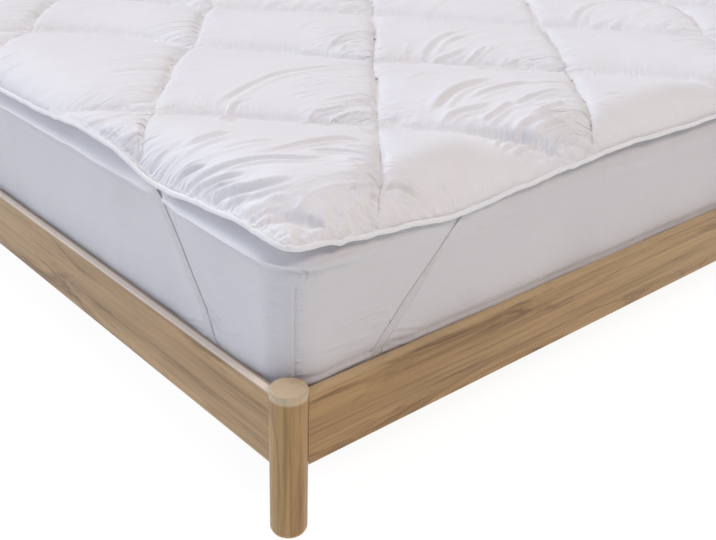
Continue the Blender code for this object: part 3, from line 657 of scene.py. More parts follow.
def pad_wrinkles(s, t):
    """Folds of the cloth: the placed ones, small ones off both seams, and gathers at the edge."""
    near_x, near_y = from_sides(s, t)
    inside = np.minimum(near_x, near_y)
    d_f, n_f, a_f, d_r, n_r, a_r = seam_place(s, t)
    side_r, side_f = np.sign(d_r), np.sign(d_f)
    away_f, away_r = np.abs(d_f), np.abs(d_r)
    step = grid_step(s, t)
    fine = 1.0 - smooth(0.0045, 0.0085, step)
    uneven = 0.45 + 0.85 * np.clip(noise(s / 0.13, t / 0.13, 21) + 0.35, 0.0, 1.2)
    bend_r = a_r + side_r * (0.32 * away_r + 1.1 * away_r ** 2)
    bend_f = a_f + side_f * (0.20 * away_f + 0.8 * away_f ** 2)
    off_rising = folds(bend_r / 0.0110, away_r / 0.10 + 31.7 * n_r + 13.1 * side_r, 31)
    off_falling = folds(bend_f / 0.0120, away_f / 0.10 + 27.3 * n_f + 11.9 * side_f, 37)
    wide_rising = folds(bend_r / 0.027, away_r / 0.20 + 17.7 * n_r + 9.1 * side_r, 41)
    side_gain = np.where(side_r > 0, 1.2, 0.55)
    height = 0.0022 * off_rising * fade(away_r, 0.035) * side_gain * fine
    height += 0.0024 * wide_rising * fade(away_r, 0.09) * side_gain
    height += 0.0014 * off_falling * fade(away_f, 0.035) * fine
    height *= uneven * (0.25 + 0.75 * smooth(0.0, 0.010, np.minimum(away_f, away_r)))
    long_share = long_side_share(near_x, near_y)
    gather_short = folds((t + 0.55 * near_x) / 0.0072, near_x / 0.060 + 5.5, 51) * fade(near_x, 0.020)
    gather_long = folds((s + 0.35 * near_y) / 0.0072, near_y / 0.060, 52) * fade(near_y, 0.018)
    broad_short = folds((t + 0.55 * near_x) / 0.020, near_x / 0.120 + 5.5, 57) * fade(near_x, 0.060)
    broad_long = folds((s + 0.35 * near_y) / 0.020, near_y / 0.120, 58) * fade(near_y, 0.050)
    height += (0.0034 * fine * (gather_short * (1 - long_share) + 0.7 * gather_long * long_share)
               + 0.0022 * (broad_short * (1 - long_share) + broad_long * long_share)) * uneven
    height += PLACED_FOLD_STRENGTH * fold_relief(s, t, all_pad_folds(), step * 0.90)
    return FOLD_STRENGTH * height * smooth(0.0, 0.005, inside)


def pad_points(s, t):
    """Points of the upper cloth, with its wrinkles set off square to it."""
    step = SLOPE_STEP
    inner_s = np.clip(s, step, TOPPER_LENGTH - step)
    inner_t = np.clip(t, step, TOPPER_WIDTH - step)
    slope_s = (pad_height(inner_s + step, inner_t) - pad_height(inner_s - step, inner_t)) / (2 * step)
    slope_t = (pad_height(inner_s, inner_t + step) - pad_height(inner_s, inner_t - step)) / (2 * step)
    length = np.sqrt(1.0 + slope_s ** 2 + slope_t ** 2)
    x, y = plan(s, t)
    z = pad_height(s, t)
    offset = pad_wrinkles(s, t)
    inside = np.minimum(*from_sides(s, t))
    sideways = smooth(0.004, 0.03, inside)
    return (x - slope_s / length * offset * sideways, y - slope_t / length * offset * sideways,
            z + offset * (sideways / length + 1 - sideways))


def pad_bottom(s, t):
    near_x, near_y = from_sides(s, t)
    edge = edge_height(near_x, near_y) - TOPPER_EDGE_THICKNESS / 2
    def drop(inside):
        short = MATTRESS_SHOULDER_RADIUS - np.clip(inside, 0.0, MATTRESS_SHOULDER_RADIUS)
        return MATTRESS_SHOULDER_RADIUS - np.sqrt(MATTRESS_SHOULDER_RADIUS ** 2 - short ** 2)
    over = MATTRESS_TOP - drop(near_x - TOPPER_OVERHANG) - drop(near_y - TOPPER_OVERHANG)
    give = sink(near_x - TOPPER_OVERHANG, near_y - TOPPER_OVERHANG) * smooth(GIVE_RISE, MATTRESS_TOP, over)
    height = np.minimum(MATTRESS_TOP - give + TOUCH_GAP, np.maximum(edge, over - give + SHOULDER_CLEARANCE))
    return np.where(np.minimum(near_x, near_y) <= 1e-9, edge, height)


def pad_grid():
    """Numbers of the points in use on the topper's finest grid, -1 elsewhere, and the points' rows."""
    used = np.full((GRID_X * FINEST + 1, GRID_Y * FINEST + 1), -1, np.int64)
    for a, b in np.ndindex(GRID_X, GRID_Y):
        i, j, step = a * FINEST, b * FINEST, FINEST // CELL_SPLITS[a, b]
        used[i:i + FINEST + 1:step, j:j + FINEST + 1:step] = 0
    marks = np.argwhere(used == 0)
    used[marks[:, 0], marks[:, 1]] = np.arange(len(marks))
    return used, marks


def pad_faces(index):
    """The upper cloth's faces; where fine cells meet coarse ones a face takes in the points between."""
    split = CELL_SPLITS.tolist()

    def run(i0, j0, i1, j1):
        """Points in use from one corner of a quad up to the next."""
        steps = max(abs(i1 - i0), abs(j1 - j0))
        di, dj = (i1 - i0) // steps, (j1 - j0) // steps
        along = [index[i0 + k * di][j0 + k * dj] for k in range(steps)]
        return [number for number in along if number >= 0]

    faces = []
    for a in range(GRID_X):
        for b in range(GRID_Y):
            step = FINEST // split[a][b]
            for i in range(a * FINEST, (a + 1) * FINEST, step):
                for j in range(b * FINEST, (b + 1) * FINEST, step):
                    faces.append(run(i, j, i + step, j) + run(i + step, j, i + step, j + step)
                                 + run(i + step, j + step, i, j + step) + run(i, j + step, i, j))
    return faces


def pad_rim(index):
    """Points in use round the topper's outline."""
    last_i, last_j = GRID_X * FINEST, GRID_Y * FINEST
    outline = [(i, 0) for i in range(last_i)] + [(last_i, j) for j in range(last_j)]
    outline += [(i, last_j) for i in range(last_i, 0, -1)] + [(0, j) for j in range(last_j, 0, -1)]
    return np.array([index[i][j] for i, j in outline if index[i][j] >= 0])


def make_pad(material):
    """The filled, quilted topper: one closed form, its upper cloth on a grid that is finest in front."""
    used, marks = pad_grid()
    s = marks[:, 0] * (TOPPER_LENGTH / (GRID_X * FINEST))
    t = marks[:, 1] * (TOPPER_WIDTH / (GRID_Y * FINEST))
    points = [np.stack(pad_points(s, t), 1)]
    index = used.tolist()
    faces = pad_faces(index)
    rim = pad_rim(index)
    ring, total = list(rim), len(s)
    for inset in UNDERSIDE_INSETS:
        ring_s = np.clip(s[rim], inset, TOPPER_LENGTH - inset)
        ring_t = np.clip(t[rim], inset, TOPPER_WIDTH - inset)
        points.append(np.stack((*plan(ring_s, ring_t), pad_bottom(ring_s, ring_t)), 1))
        following = list(range(total, total + len(rim)))
        for k in range(len(rim)):
            after = (k + 1) % len(rim)
            faces.append((ring[after], ring[k], following[k], following[after]))
        ring, total = following, total + len(rim)
    faces.append(tuple(reversed(ring)))
    points = np.concatenate(points)
    pad = mesh_object("topper_quilted_cloth", points.tolist(), faces, material)
    store_cloth_places(pad.data, points[:, 0] + TOPPER_LENGTH / 2, points[:, 1] + TOPPER_WIDTH / 2)
    shape = bmesh.new()
    shape.from_mesh(pad.data)
    bmesh.ops.remove_doubles(shape, verts=shape.verts, dist=SAME_POINT)
    bmesh.ops.recalc_face_normals(shape, faces=shape.faces)
    shape.to_mesh(pad.data)
    shape.free()
    return pad


def store_cloth_places(mesh, s, t):
    """Where each point lies along and off its seams, its edge and its long folds, and how much it creases."""
    d_f, _, a_f, d_r, n_r, a_r = seam_place(s, t)
    inside_x, inside_y = from_sides(s, t)
    inside = np.minimum(inside_x, inside_y)
    one_side = smooth(0.3, 0.9, np.abs(inside_x - inside_y) / (inside + 0.02))
    away, side_r = np.abs(d_r), np.sign(d_r)
    store(mesh, "off_rising", a_r, away, fade(away, 0.060))
    store(mesh, "off_falling", a_f, np.abs(d_f), fade(np.abs(d_f), 0.045))
    store(mesh, "off_edge", np.where(inside_x < inside_y, t, s), inside, one_side * fade(inside, 0.030))
    # long folds sweep from each rising seam up to the seam on its left, bending towards the camera
    patches = 0.35 + 0.9 * np.clip(noise(s / 0.17, t / 0.17, 93) + 0.45, 0.0, 1.3)
    reach = np.where(side_r > 0, fade(away, 0.17), 0.45 * fade(away, 0.050)) * smooth(0.190, 0.120, away)
    calm = 1.0 - 0.75 * spot(s, t, 0.15)                # fewer of them in the tucked corner
    store(mesh, "flow", a_r + side_r * (0.30 * away + 1.5 * away ** 2) + 3.1 * n_r, away,
          reach * patches * smooth(0.0, 0.02, inside) * calm)


# ---------------------------------------------------------------- the bound edge
def edge_route():
    """Points round the topper's outline, counter-clockwise from the near corner, closer together there."""
    s_lines, t_lines = [0.0], [0.0]
    for lines, length in ((s_lines, TOPPER_LENGTH), (t_lines, TOPPER_WIDTH)):
        while lines[-1] < length - BINDING_STEP_FAR:
            near = lines[-1] < BINDING_NEAR or lines[-1] > length - 0.05
            lines.append(lines[-1] + (BINDING_STEP_NEAR if near else BINDING_STEP_FAR))
        lines[-1] = length
    route = [(s, 0.0) for s in s_lines[:-1]] + [(TOPPER_LENGTH, t) for t in t_lines[:-1]]
    route += [(s, TOPPER_WIDTH) for s in reversed(s_lines[1:])] + [(0.0, t) for t in reversed(t_lines[1:])]
    return np.array(route)


def make_binding(material):
    """The padded binding sewn round the edge: a plump wavy tube, pinched by its stitches."""
    route = edge_route()
    s, t = route[:, 0], route[:, 1]
    x, y = plan(s, t)
    z = edge_height(*from_sides(s, t))
    place = np.stack((x, y), 1)
    ahead = np.roll(place, -1, 0) - np.roll(place, 1, 0)
    for _ in range(3):
        ahead = (ahead + np.roll(ahead, 1, 0) + np.roll(ahead, -1, 0)) / 3
    ahead /= np.linalg.norm(ahead, axis=1)[:, None]
    outward = np.stack((ahead[:, 1], -ahead[:, 0]), 1)
    steps = np.linalg.norm(np.roll(place, -1, 0) - place, axis=1)
    run = np.concatenate(([0.0], np.cumsum(steps)[:-1]))
    radius = BINDING_RADIUS * (1 + 0.10 * noise(run / 0.021, 0.5, 61) + 0.07 * noise(run / 0.009, 2.5, 62))
    height = z + 0.0016 * noise(run / 0.034, 0.5, 63) + 0.0008 * noise(run / 0.012, 0.5, 64)
    height -= 0.0022 * bell(seam_place(s, t)[0], 0.006)
    sway = 0.0010 * noise(run / 0.028, 0.5, 65)
    sides = BINDING_SIDES                       # faces round the tube
    angles = np.arange(sides) * 2 * math.pi / sides
    centre = place + outward * (0.0040 + sway)[:, None]
    tuck = 1.0 + 0.05 * folds(run / 0.0042, 0.5, 66)
    rings = []
    for angle in angles:
        out = np.cos(angle) * radius * tuck
        rise = np.sin(angle) * radius * 1.08 * tuck
        rings.append(np.stack((centre[:, 0] + outward[:, 0] * out, centre[:, 1] + outward[:, 1] * out,
                               height + rise), 1))
    points = np.stack(rings, 1).reshape(-1, 3)
    count = len(route)
    faces = []
    for k in range(count):
        after = (k + 1) % count
        for m in range(sides):
            turn = (m + 1) % sides
            faces.append((k * sides + m, after * sides + m, after * sides + turn, k * sides + turn))
    binding = mesh_object("topper_binding", points.tolist(), faces, material)
    along = np.repeat(run, sides)
    around = np.tile(angles, count)
    store(binding.data, "along", along, around, np.zeros_like(along))
    return binding


# ---------------------------------------------------------------- the mattress
def side_lines():
    """Points round the mattress in plan: distance run from the near corner, place, outward direction."""
    half_x, half_y, radius = MATTRESS_LENGTH / 2, MATTRESS_WIDTH / 2, MATTRESS_CORNER_RADIUS
    straight_x, straight_y = MATTRESS_LENGTH - 2 * radius, MATTRESS_WIDTH - 2 * radius
    arc = math.pi * radius / 2
    # from the middle of the near corner's arc: long near side, right end, far side, left end
    total = 2 * (straight_x + straight_y) + 4 * arc
    run, lines = 0.0, []
    while run < total - 1e-6:
        lines.append(run)
        from_corner = min(run, total - run)
        run += next(step for limit, step in SIDE_STEPS if from_corner < limit)
    run = np.array(lines)
    x, y = np.empty_like(run), np.empty_like(run)
    out_x, out_y = np.empty_like(run), np.empty_like(run)
    parts = [("arc", arc / 2, (-1, -1), math.pi * 1.25), ("line", straight_x, (0, -1), 0),
             ("arc", arc, (1, -1), math.pi * 1.5), ("line", straight_y, (1, 0), 0),
             ("arc", arc, (1, 1), 0.0), ("line", straight_x, (0, 1), 0),
             ("arc", arc, (-1, 1), math.pi * 0.5), ("line", straight_y, (-1, 0), 0),
             ("arc", arc / 2 + 1e-6, (-1, -1), math.pi)]
    start = 0.0
    for kind, length, where, first in parts:
        here = (run >= start - 1e-9) & (run < start + length)
        local = run[here] - start
        if kind == "arc":
            angle = first + local / radius
            out_x[here], out_y[here] = np.cos(angle), np.sin(angle)
            x[here] = where[0] * (half_x - radius) + radius * np.cos(angle)
            y[here] = where[1] * (half_y - radius) + radius * np.sin(angle)
        else:
            out_x[here], out_y[here] = where
            if where[0] == 0:
                x[here] = where[1] * (half_x - radius - local)
                y[here] = where[1] * half_y
            else:
                y[here] = -where[0] * (half_y - radius - local)
                x[here] = where[0] * half_x
        start += length
    return run, total, x, y, out_x, out_y


def make_mattress(material):
    """The mattress in its cover: a soft shoulder, slack sides and a gathered seam at the near corner."""
    run, total, x, y, out_x, out_y = side_lines()
    signed = np.where(run > total / 2, run - total, run)     # + along the long side, - along the short
    shoulder, foot = MATTRESS_SHOULDER_RADIUS, MATTRESS_FOOT_RADIUS
    profile = []
    for k in range(FOOT_STEPS):
        angle = math.pi / 2 * k / FOOT_STEPS
        profile.append((foot * (1 - math.sin(angle)), MATTRESS_BOTTOM + foot * (1 - math.cos(angle))))
    height = MATTRESS_BOTTOM + foot
    while height < MATTRESS_TOP - shoulder - 0.002:
        profile.append((0.0, height))
        height += SIDE_STEP_UP
    for k in range(SHOULDER_STEPS + 1):
        angle = math.pi / 2 * k / SHOULDER_STEPS
        profile.append((shoulder * (1 - math.cos(angle)),
                        MATTRESS_TOP - shoulder + shoulder * math.sin(angle)))
    rings, facts, painted_roll_highlights = [], [], []
    count = len(run)
    for inset, height in profile:
        ring_z = np.full(count, height)
        push = mattress_push(signed, ring_z)
        move = push - inset
        ring_x, ring_y = x + out_x * move, y + out_y * move
        give = sink(MATTRESS_LENGTH / 2 - np.abs(ring_x), MATTRESS_WIDTH / 2 - np.abs(ring_y))
        rings.append(np.stack((ring_x, ring_y, ring_z - give * smooth(GIVE_RISE, MATTRESS_TOP, ring_z)), 1))
        corner = corner_distance(signed)
        pucker = smooth(0.0025, 0.006, corner) * (1 - smooth(0.014, 0.024, corner))
        pucker = pucker * smooth(0.262, 0.272, ring_z) * (1 - smooth(0.412, 0.425, ring_z))
        facts.append((signed, ring_z, pucker))
        # painted highlight along the cover's rolled shoulder: brighter about the roll's crest and up into the
        # shade under the topper's edge, full on the short side and fading out round the near corner
        above = ring_z - np.interp(signed, *zip(*SHOULDER_RIDGE))
        painted_roll_highlight = bell(above, np.where(above > 0, 0.026, 0.008)) * smooth(0.04, -0.08, signed)
        painted_roll_highlights.append(painted_roll_highlight)
    points = np.concatenate(rings)
    faces = []
    for level in range(len(profile) - 1):
        base, above = level * count, (level + 1) * count
        for k in range(count):
            after = (k + 1) % count
            faces.append((base + k, base + after, above + after, above + k))
    faces.append(tuple(reversed(range(count))))
    top = (len(profile) - 1) * count
    faces.append(tuple(range(top, top + count)))
    mattress = mesh_object("mattress_cover", points.tolist(), faces, material)
    store(mattress.data, "side", *(np.concatenate(fact) for fact in zip(*facts)))
    painted_roll_highlight = np.concatenate(painted_roll_highlights)
    store(mattress.data, "painted_roll_highlight", painted_roll_highlight, np.zeros_like(painted_roll_highlight), np.zeros_like(painted_roll_highlight))
    return mattress


def corner_distance(signed):
    """Signed distance to the middle of the nearest corner's arc."""
    arc = math.pi * MATTRESS_CORNER_RADIUS / 2
    along = MATTRESS_LENGTH - 2 * MATTRESS_CORNER_RADIUS + arc
    across = MATTRESS_WIDTH - 2 * MATTRESS_CORNER_RADIUS + arc
    corners = np.array((0.0, along, along + across, -along - across, -across))
    apart = signed[:, None] - corners[None, :]
    return np.take_along_axis(apart, np.abs(apart).argmin(1)[:, None], 1)[:, 0]


def mattress_push(signed, z):
    """How far the cover stands out of the mattress's plain side, in metres."""
    body = smooth(MATTRESS_BOTTOM + 0.002, MATTRESS_BOTTOM + 0.03, z) * (1 - smooth(0.470, 0.500, z))
    push = 0.0016 * noise(signed / 0.16, z / 0.12, 71) + 0.0007 * noise(signed / 0.05, z / 0.07, 72)
    ridge = z - np.interp(signed, *zip(*SHOULDER_RIDGE))
    # the roll swells slowly down from the topper to its crest and turns in sharply below it
    strong = (0.52 + 0.48 * smooth(0.02, -0.04, signed)) * (1.0 + 0.16 * noise(signed / 0.045, 0.5, 73))
    strong *= (1.0 - 0.45 * bell(signed + 0.41, 0.05)) * (1.0 - 0.5 * smooth(0.07, 0.16, signed))
    for place in STRAP_PINCHES:
        strong *= 1.0 - 0.94 * bell(np.maximum(np.abs(signed - place) - 0.016, 0.0), 0.014)
    push += strong * (SHOULDER_ROLL * bell(ridge, np.where(ridge > 0, 0.026, 0.0085))
                      - 0.0022 * bell(ridge + 0.0165, 0.0065))
    corner = corner_distance(signed)
    seam = smooth(0.258, 0.268, z) * (1 - smooth(0.415, 0.430, z))
    push += seam * (0.0016 * bell(corner - 0.0007, 0.0020) - 0.0014 * bell(corner - 0.0056, 0.0028))
    for k, height in enumerate(PUCKERS):
        reach = 0.0060 + 0.0020 * math.sin(k * 2.3)
        lean = 0.15 * (corner - 0.011)
        push -= seam * 0.0011 * bell(z - height - lean, 0.0022) * bell(corner - 0.0115, reach)
    hem = z - np.interp(signed, *zip(*HEM))
    hemmed = smooth(-0.12, 0.02, signed)             # the hem shows round the corner and on the long side
    push += hemmed * (0.0026 * bell(hem, 0.0036) - 0.0012 * bell(hem - 0.0085, 0.0040))
    push -= 0.0018 * hemmed * smooth(-0.002, -0.014, hem)
    push += END_RAIL_LEAN * (1.0 - hemmed) * smooth(0.300, 0.262, z)
    for place in HEM_GATHERS:
        push -= 0.0016 * bell(signed - place, 0.0024) * bell(hem - 0.005, 0.008)
    least = np.full_like(z, SIDE_LEAST_FOLD)
    push += SIDE_FOLD_STRENGTH * fold_relief(signed, z, in_metres(SIDE_FOLDS + (DART,)), least)
    return push * body


# ---------------------------------------------------------------- straps
def strap_centre(side):
    """Route of half a strap: outside the mattress, height, along the side, and its outward normal."""
    route = STRAP_ROUTE[side]
    foot, off = MATTRESS_FOOT_RADIUS, STRAP_OFF_MATTRESS
    def edge_at(distance):
        return float(edge_height(np.array([0.0 if side == "short_side" else distance]),
                                 np.array([distance if side == "short_side" else 0.0]))[0])
    top = edge_at(route["sewn"]) - TOPPER_EDGE_THICKNESS / 2 - 2 * TOUCH_GAP
    low = MATTRESS_BOTTOM + foot
    lean = (route["sewn"] - route["turn"]) / (top - low)
    straight = edge_at(route["sewn"]) - 0.030
    sections = []
    heights = np.array([top + (low - top) * k / STRAP_SIDE_STEPS for k in range(STRAP_SIDE_STEPS + 1)])
    alongs = route["sewn"] - lean * (top - heights)
    for height, along in zip(heights, alongs):
        share = min(1.0, max(0.0, (height - straight) / (top - straight)))
        sections.append((off + (STRAP_SEWN_OUT - off) * share, float(height), float(along), (1.0, 0.0)))
    for k in range(1, STRAP_TURN_STEPS + 1):
        angle = math.pi / 2 * k / STRAP_TURN_STEPS
        sections.append((-foot + (foot + off) * math.cos(angle),
                         MATTRESS_BOTTOM + foot - (foot + off) * math.sin(angle),
                         route["turn"] + (route["under"] - route["turn"]) * k / STRAP_TURN_STEPS,
                         (math.cos(angle), -math.sin(angle))))
    return sections, math.sqrt(1 + lean * lean)


def strap_gather(side, height):
    """Share of its width that the elastic keeps: on the long side it is folded together at its sewn end."""
    return 0.22 + 0.78 * float(smooth(0.435, 0.320, height)) if side == "long_side" else 1.0


def strap_sections():
    """The whole strap's sections, up to the long side: the side, the share of its width, and the place."""
    rows = []
    for side, order in (("short_side", 1), ("long_side", -1)):
        half, widening = strap_centre(side)
        rows += [(side, widening * strap_gather(side, section[1]), section) for section in half[::order]]
    return rows


def make_strap(name, side_x, side_y, material):
    """One woven elastic band from the short side's edge, under the corner, to the long side's."""
    shape = bmesh.new()
    rings = []
    sections = strap_sections()
    from_corner = math.pi * MATTRESS_CORNER_RADIUS / 4 - MATTRESS_CORNER_RADIUS
    sign = {"short_side": -1, "long_side": 1}
    across = [-1 + 2 * k / STRAP_STEPS for k in range(STRAP_STEPS + 1)]
    heights = np.array([[section[1]] * len(across) for _, _, section in sections])
    places = np.array([[sign[side] * (section[2] + from_corner + share * STRAP_WIDTH / 2 * widen)
                        for share in across] for side, widen, section in sections])
    lifted = mattress_push(places.reshape(-1), heights.reshape(-1)).reshape(heights.shape)
    lifted[heights < MATTRESS_BOTTOM + MATTRESS_FOOT_RADIUS] = 0.0
    for number, (side, widen, (outward, height, along, normal)) in enumerate(sections):
        ring = []
        for face in (1, -1):
            for k, share in list(enumerate(across))[::face]:
                depth = face * STRAP_THICKNESS / 2 + STRAP_BOW * (1 - share * share)
                if face == 1 and abs(share) == 1:
                    depth -= STRAP_BOW
                out = outward + depth * normal[0] + float(lifted[number, k])
                up = height + depth * normal[1]
                away = along + share * STRAP_WIDTH / 2 * widen
                in_x, in_y = (-out, away) if side == "short_side" else (away, -out)
                ring.append(shape.verts.new((side_x * (MATTRESS_LENGTH / 2 - in_x),
                                             side_y * (MATTRESS_WIDTH / 2 - in_y), up)))
        rings.append(ring)
    around = len(rings[0])
    for ring, following in zip(rings, rings[1:]):
        for k in range(around):
            after = (k + 1) % around
            shape.faces.new((ring[k], ring[after], following[after], following[k]))
    shape.faces.new(rings[0])
    shape.faces.new(rings[-1])
    bmesh.ops.recalc_face_normals(shape, faces=shape.faces)
    mesh = bpy.data.meshes.new(name)
    shape.to_mesh(mesh)
    shape.free()
    mesh.shade_smooth()
    mesh.materials.append(material)
    strap = bpy.data.objects.new(name, mesh)
    bpy.context.scene.collection.objects.link(strap)
    return strap


def strap_length():
    """Both halves of the route, and the straight run under the mattress between them."""
    total = 0.0
    for side in STRAP_ROUTE:
        points = [section[:3] for section in strap_centre(side)[0]]
        total += sum(math.dist(a, b) for a, b in zip(points, points[1:]))
    return total + math.hypot(*(route["under"] + MATTRESS_FOOT_RADIUS for route in STRAP_ROUTE.values()))


# ---------------------------------------------------------------- materials
BAND_SPREAD = 2 / 6.2832        # distance between the bands of a wave texture of scale 1
OAK_SHADES = [(0.32, (0.318, 0.188, 0.080)), (0.46, (0.385, 0.238, 0.107)),
              (0.58, (0.415, 0.264, 0.124)), (0.72, (0.368, 0.224, 0.098))]
PAINTED_TOP_HIGHLIGHT = (250.0, -62.6)      # slope and offset by height: painted highlight on all the wood above the rails' upper edge, where light falls on their tops
SHADED_EDGE = (-400.0, 405.2)   # the same by distance from the middle: painted shade on the end rails' inner side beside the mattress, and on the slats under it


class Nodes:
    """Short names for the shader nodes that the materials share."""
    def __init__(self, name):
        self.material = bpy.data.materials.new(name)
        self.material.use_nodes = True
        self.tree = self.material.node_tree
        self.shader = self.tree.nodes["Principled BSDF"]

    def put(self, socket, value):
        """A link where the value comes from a node, and else the value itself."""
        if isinstance(value, bpy.types.NodeSocket):
            self.tree.links.new(value, socket)
        elif socket.type == "RGBA":
            socket.default_value = (*value, 1.0)
        else:
            socket.default_value = value

    def node(self, kind, output, inputs, **settings):
        """A new node's output; settings are the node's own, inputs its sockets' values."""
        node = self.tree.nodes.new("ShaderNode" + kind)
        for key, value in settings.items():
            setattr(node, key, value)
        for key, value in inputs.items():
            self.put(node.inputs[key], value)
        return node.outputs[output]

    def attribute(self, name):
        return self.node("Attribute", "Vector", {}, attribute_name=name)

    def place(self):
        return self.node("TexCoord", "Object", {})

    def scaled(self, vector, scale, turn=(0.0, 0.0, 0.0), move=(0.0, 0.0, 0.0)):
        inputs = {"Vector": vector, "Scale": scale, "Rotation": turn, "Location": move}
        return self.node("Mapping", "Vector", inputs)

    def noise(self, vector, scale, detail, rough=0.5, distort=0.0, **moved):
        inputs = {"Vector": self.scaled(vector, scale, **moved), "Scale": 1.0, "Detail": detail,
                  "Roughness": rough, "Distortion": distort}
        return self.node("TexNoise", "Fac", inputs)

    def wave(self, vector, pitch, distort, direction="X"):
        """Bands about this many metres apart."""
        inputs = {"Vector": vector, "Scale": BAND_SPREAD / pitch, "Distortion": distort, "Detail": 1.0}
        return self.node("TexWave", "Fac", inputs, bands_direction=direction)

    def math(self, operation, *values):
        return self.node("Math", 0, dict(enumerate(values)), operation=operation)

    def limited(self, value):
        return self.math("MINIMUM", self.math("MAXIMUM", value, 0.0), 1.0)

    def ramp(self, value, stops):
        node = self.tree.nodes.new("ShaderNodeValToRGB")
        self.put(node.inputs["Fac"], value)
        elements = node.color_ramp.elements
        elements.remove(elements[-1])
        elements[0].position = stops[0][0]
        elements[0].color = (*stops[0][1], 1.0)
        for position, colour in stops[1:]:
            elements.new(position).color = (*colour, 1.0)
        return node.outputs["Color"]

    def mix(self, share, first, second, kind="MIX"):
        return self.node("Mix", 2, {0: share, 6: first, 7: second}, data_type="RGBA", blend_type=kind)

    def times(self, first, second, share=1.0):
        return self.mix(share, first, second, "MULTIPLY")

    def bump(self, height, distance, strength=1.0, normal=None):
        inputs = {"Height": height, "Distance": distance, "Strength": strength}
        if normal is not None:
            inputs["Normal"] = normal
        return self.node("Bump", "Normal", inputs)

    def parts(self, vector):
        node = self.tree.nodes.new("ShaderNodeSeparateXYZ")
        self.put(node.inputs[0], vector)
        return node.outputs

    def finish(self, colour, rough, normal, sheen, specular):
        values = {"Base Color": colour, "Roughness": rough, "Normal": normal, "Sheen Weight": sheen,
                  "Sheen Roughness": 0.5, "Specular IOR Level": specular}
        for key, value in values.items():
            self.put(self.shader.inputs[key], value)
        return self.material


def weave_height(n, place, pitch):
    """Over and under of a plain weave with this many metres between its threads."""
    return n.math("MULTIPLY", n.wave(place, pitch, 0.6, "X"), n.wave(place, pitch, 0.6, "Y"))


def quilted_cloth():
    n = Nodes("quilted_microfibre")
    place = n.place()
    rising, falling, edge = n.attribute("off_rising"), n.attribute("off_falling"), n.attribute("off_edge")
    flow = n.attribute("flow")
    fine_r = n.noise(rising, (115, 11, 0), 2.5, 0.55, 0.3)
    fine_f = n.noise(falling, (115, 11, 0), 2.5, 0.55, 0.3)
    fine_e = n.noise(edge, (170, 16, 0), 2.5, 0.55, 0.2)
    creases = n.math("MULTIPLY", fine_r, n.parts(rising)[2])
    for fine, share, cloth_place in ((fine_f, 0.6, falling), (fine_e, 0.5, edge)):
        creases = n.math("MULTIPLY_ADD", n.math("MULTIPLY", fine, share), n.parts(cloth_place)[2], creases)
    sweep = n.noise(flow, (62, 5.0, 0), 2.0, 0.5, 0.35)
    thread = n.noise(flow, (165, 9, 0), 1.5, 0.5, 0.2, move=(0, 3, 0))
    steep = n.math("ABSOLUTE", n.math("SUBTRACT", sweep, 0.5))
    sweep = n.math("SUBTRACT", sweep, n.math("MULTIPLY", steep, 0.9))       # narrower troughs
    sweep = n.math("MULTIPLY", n.math("MULTIPLY_ADD", thread, 0.12, sweep), n.parts(flow)[2])
    crumple = n.noise(place, (22, 22, 22), 4.0, 0.6, 0.4)
    normal = n.bump(creases, 0.0065, 1.0)
    normal = n.bump(sweep, 0.0085, 1.0, normal)
    normal = n.bump(crumple, 0.0040, 0.6, normal)
    normal = n.bump(weave_height(n, place, 0.0011), 0.00012, 0.35, normal)
    tone = n.noise(place, (9, 9, 9), 3.0, 0.5)
    colour = n.ramp(tone, [(0.25, (0.800, 0.790, 0.806)), (0.75, (0.824, 0.813, 0.828))])
    return n.finish(colour, 0.78, normal, 0.12, 0.25)


def binding_cloth():
    n = Nodes("binding_microfibre")
    along = n.attribute("along")
    twist = n.noise(along, (150, 0.9, 1), 2.0, 0.5, 0.4)
    stitch = n.wave(n.scaled(along, (1, 0, 0)), 0.0064, 0.4)
    normal = n.bump(twist, 0.0012, 0.7)
    normal = n.bump(stitch, 0.0003, 0.35, normal)
    return n.finish((0.835, 0.835, 0.842), 0.75, normal, 0.12, 0.25)


def mattress_cloth():
    n = Nodes("mattress_cover_cloth")
    side = n.attribute("side")
    slack = n.noise(side, (7, 9, 0), 3.0, 0.5, 0.5)
    gathers = n.math("MULTIPLY", n.noise(side, (30, 190, 0), 2.0, 0.5, 0.4), n.parts(side)[2])
    knit = weave_height(n, n.scaled(side, (1, 1, 0)), 0.0014)
    drawn = n.noise(side, (26, 60, 0), 3.0, 0.6, 0.6, turn=(0, 0, 0.35))
    normal = n.bump(slack, 0.0055, 0.7)
    normal = n.bump(drawn, 0.0024, 0.8, normal)
    normal = n.bump(gathers, 0.0028, 0.9, normal)
    normal = n.bump(knit, 0.00016, 0.4, normal)
    tone = n.noise(side, (4, 5, 0), 3.0, 0.5)
    colour = n.ramp(tone, [(0.3, (0.640, 0.630, 0.652)), (0.7, (0.668, 0.660, 0.682))])
    # painted highlight: the rolled shoulder's colour lightened towards near-white, also up into the shade
    # under the topper's edge
    colour = n.mix(n.parts(n.attribute("painted_roll_highlight"))[0], colour, (0.90, 0.89, 0.91))
    return n.finish(colour, 0.82, normal, 0.10, 0.2)


def elastic_cloth():
    n = Nodes("woven_elastic")
    place = n.place()
    ribs = n.wave(place, 0.0018, 0.3, "Z")
    normal = n.bump(ribs, 0.00025, 0.6)
    tone = n.noise(place, (60, 60, 60), 2.0, 0.5)
    colour = n.ramp(tone, [(0.3, (0.585, 0.58, 0.59)), (0.7, (0.625, 0.62, 0.63))])
    return n.finish(colour, 0.7, normal, 0.05, 0.3)


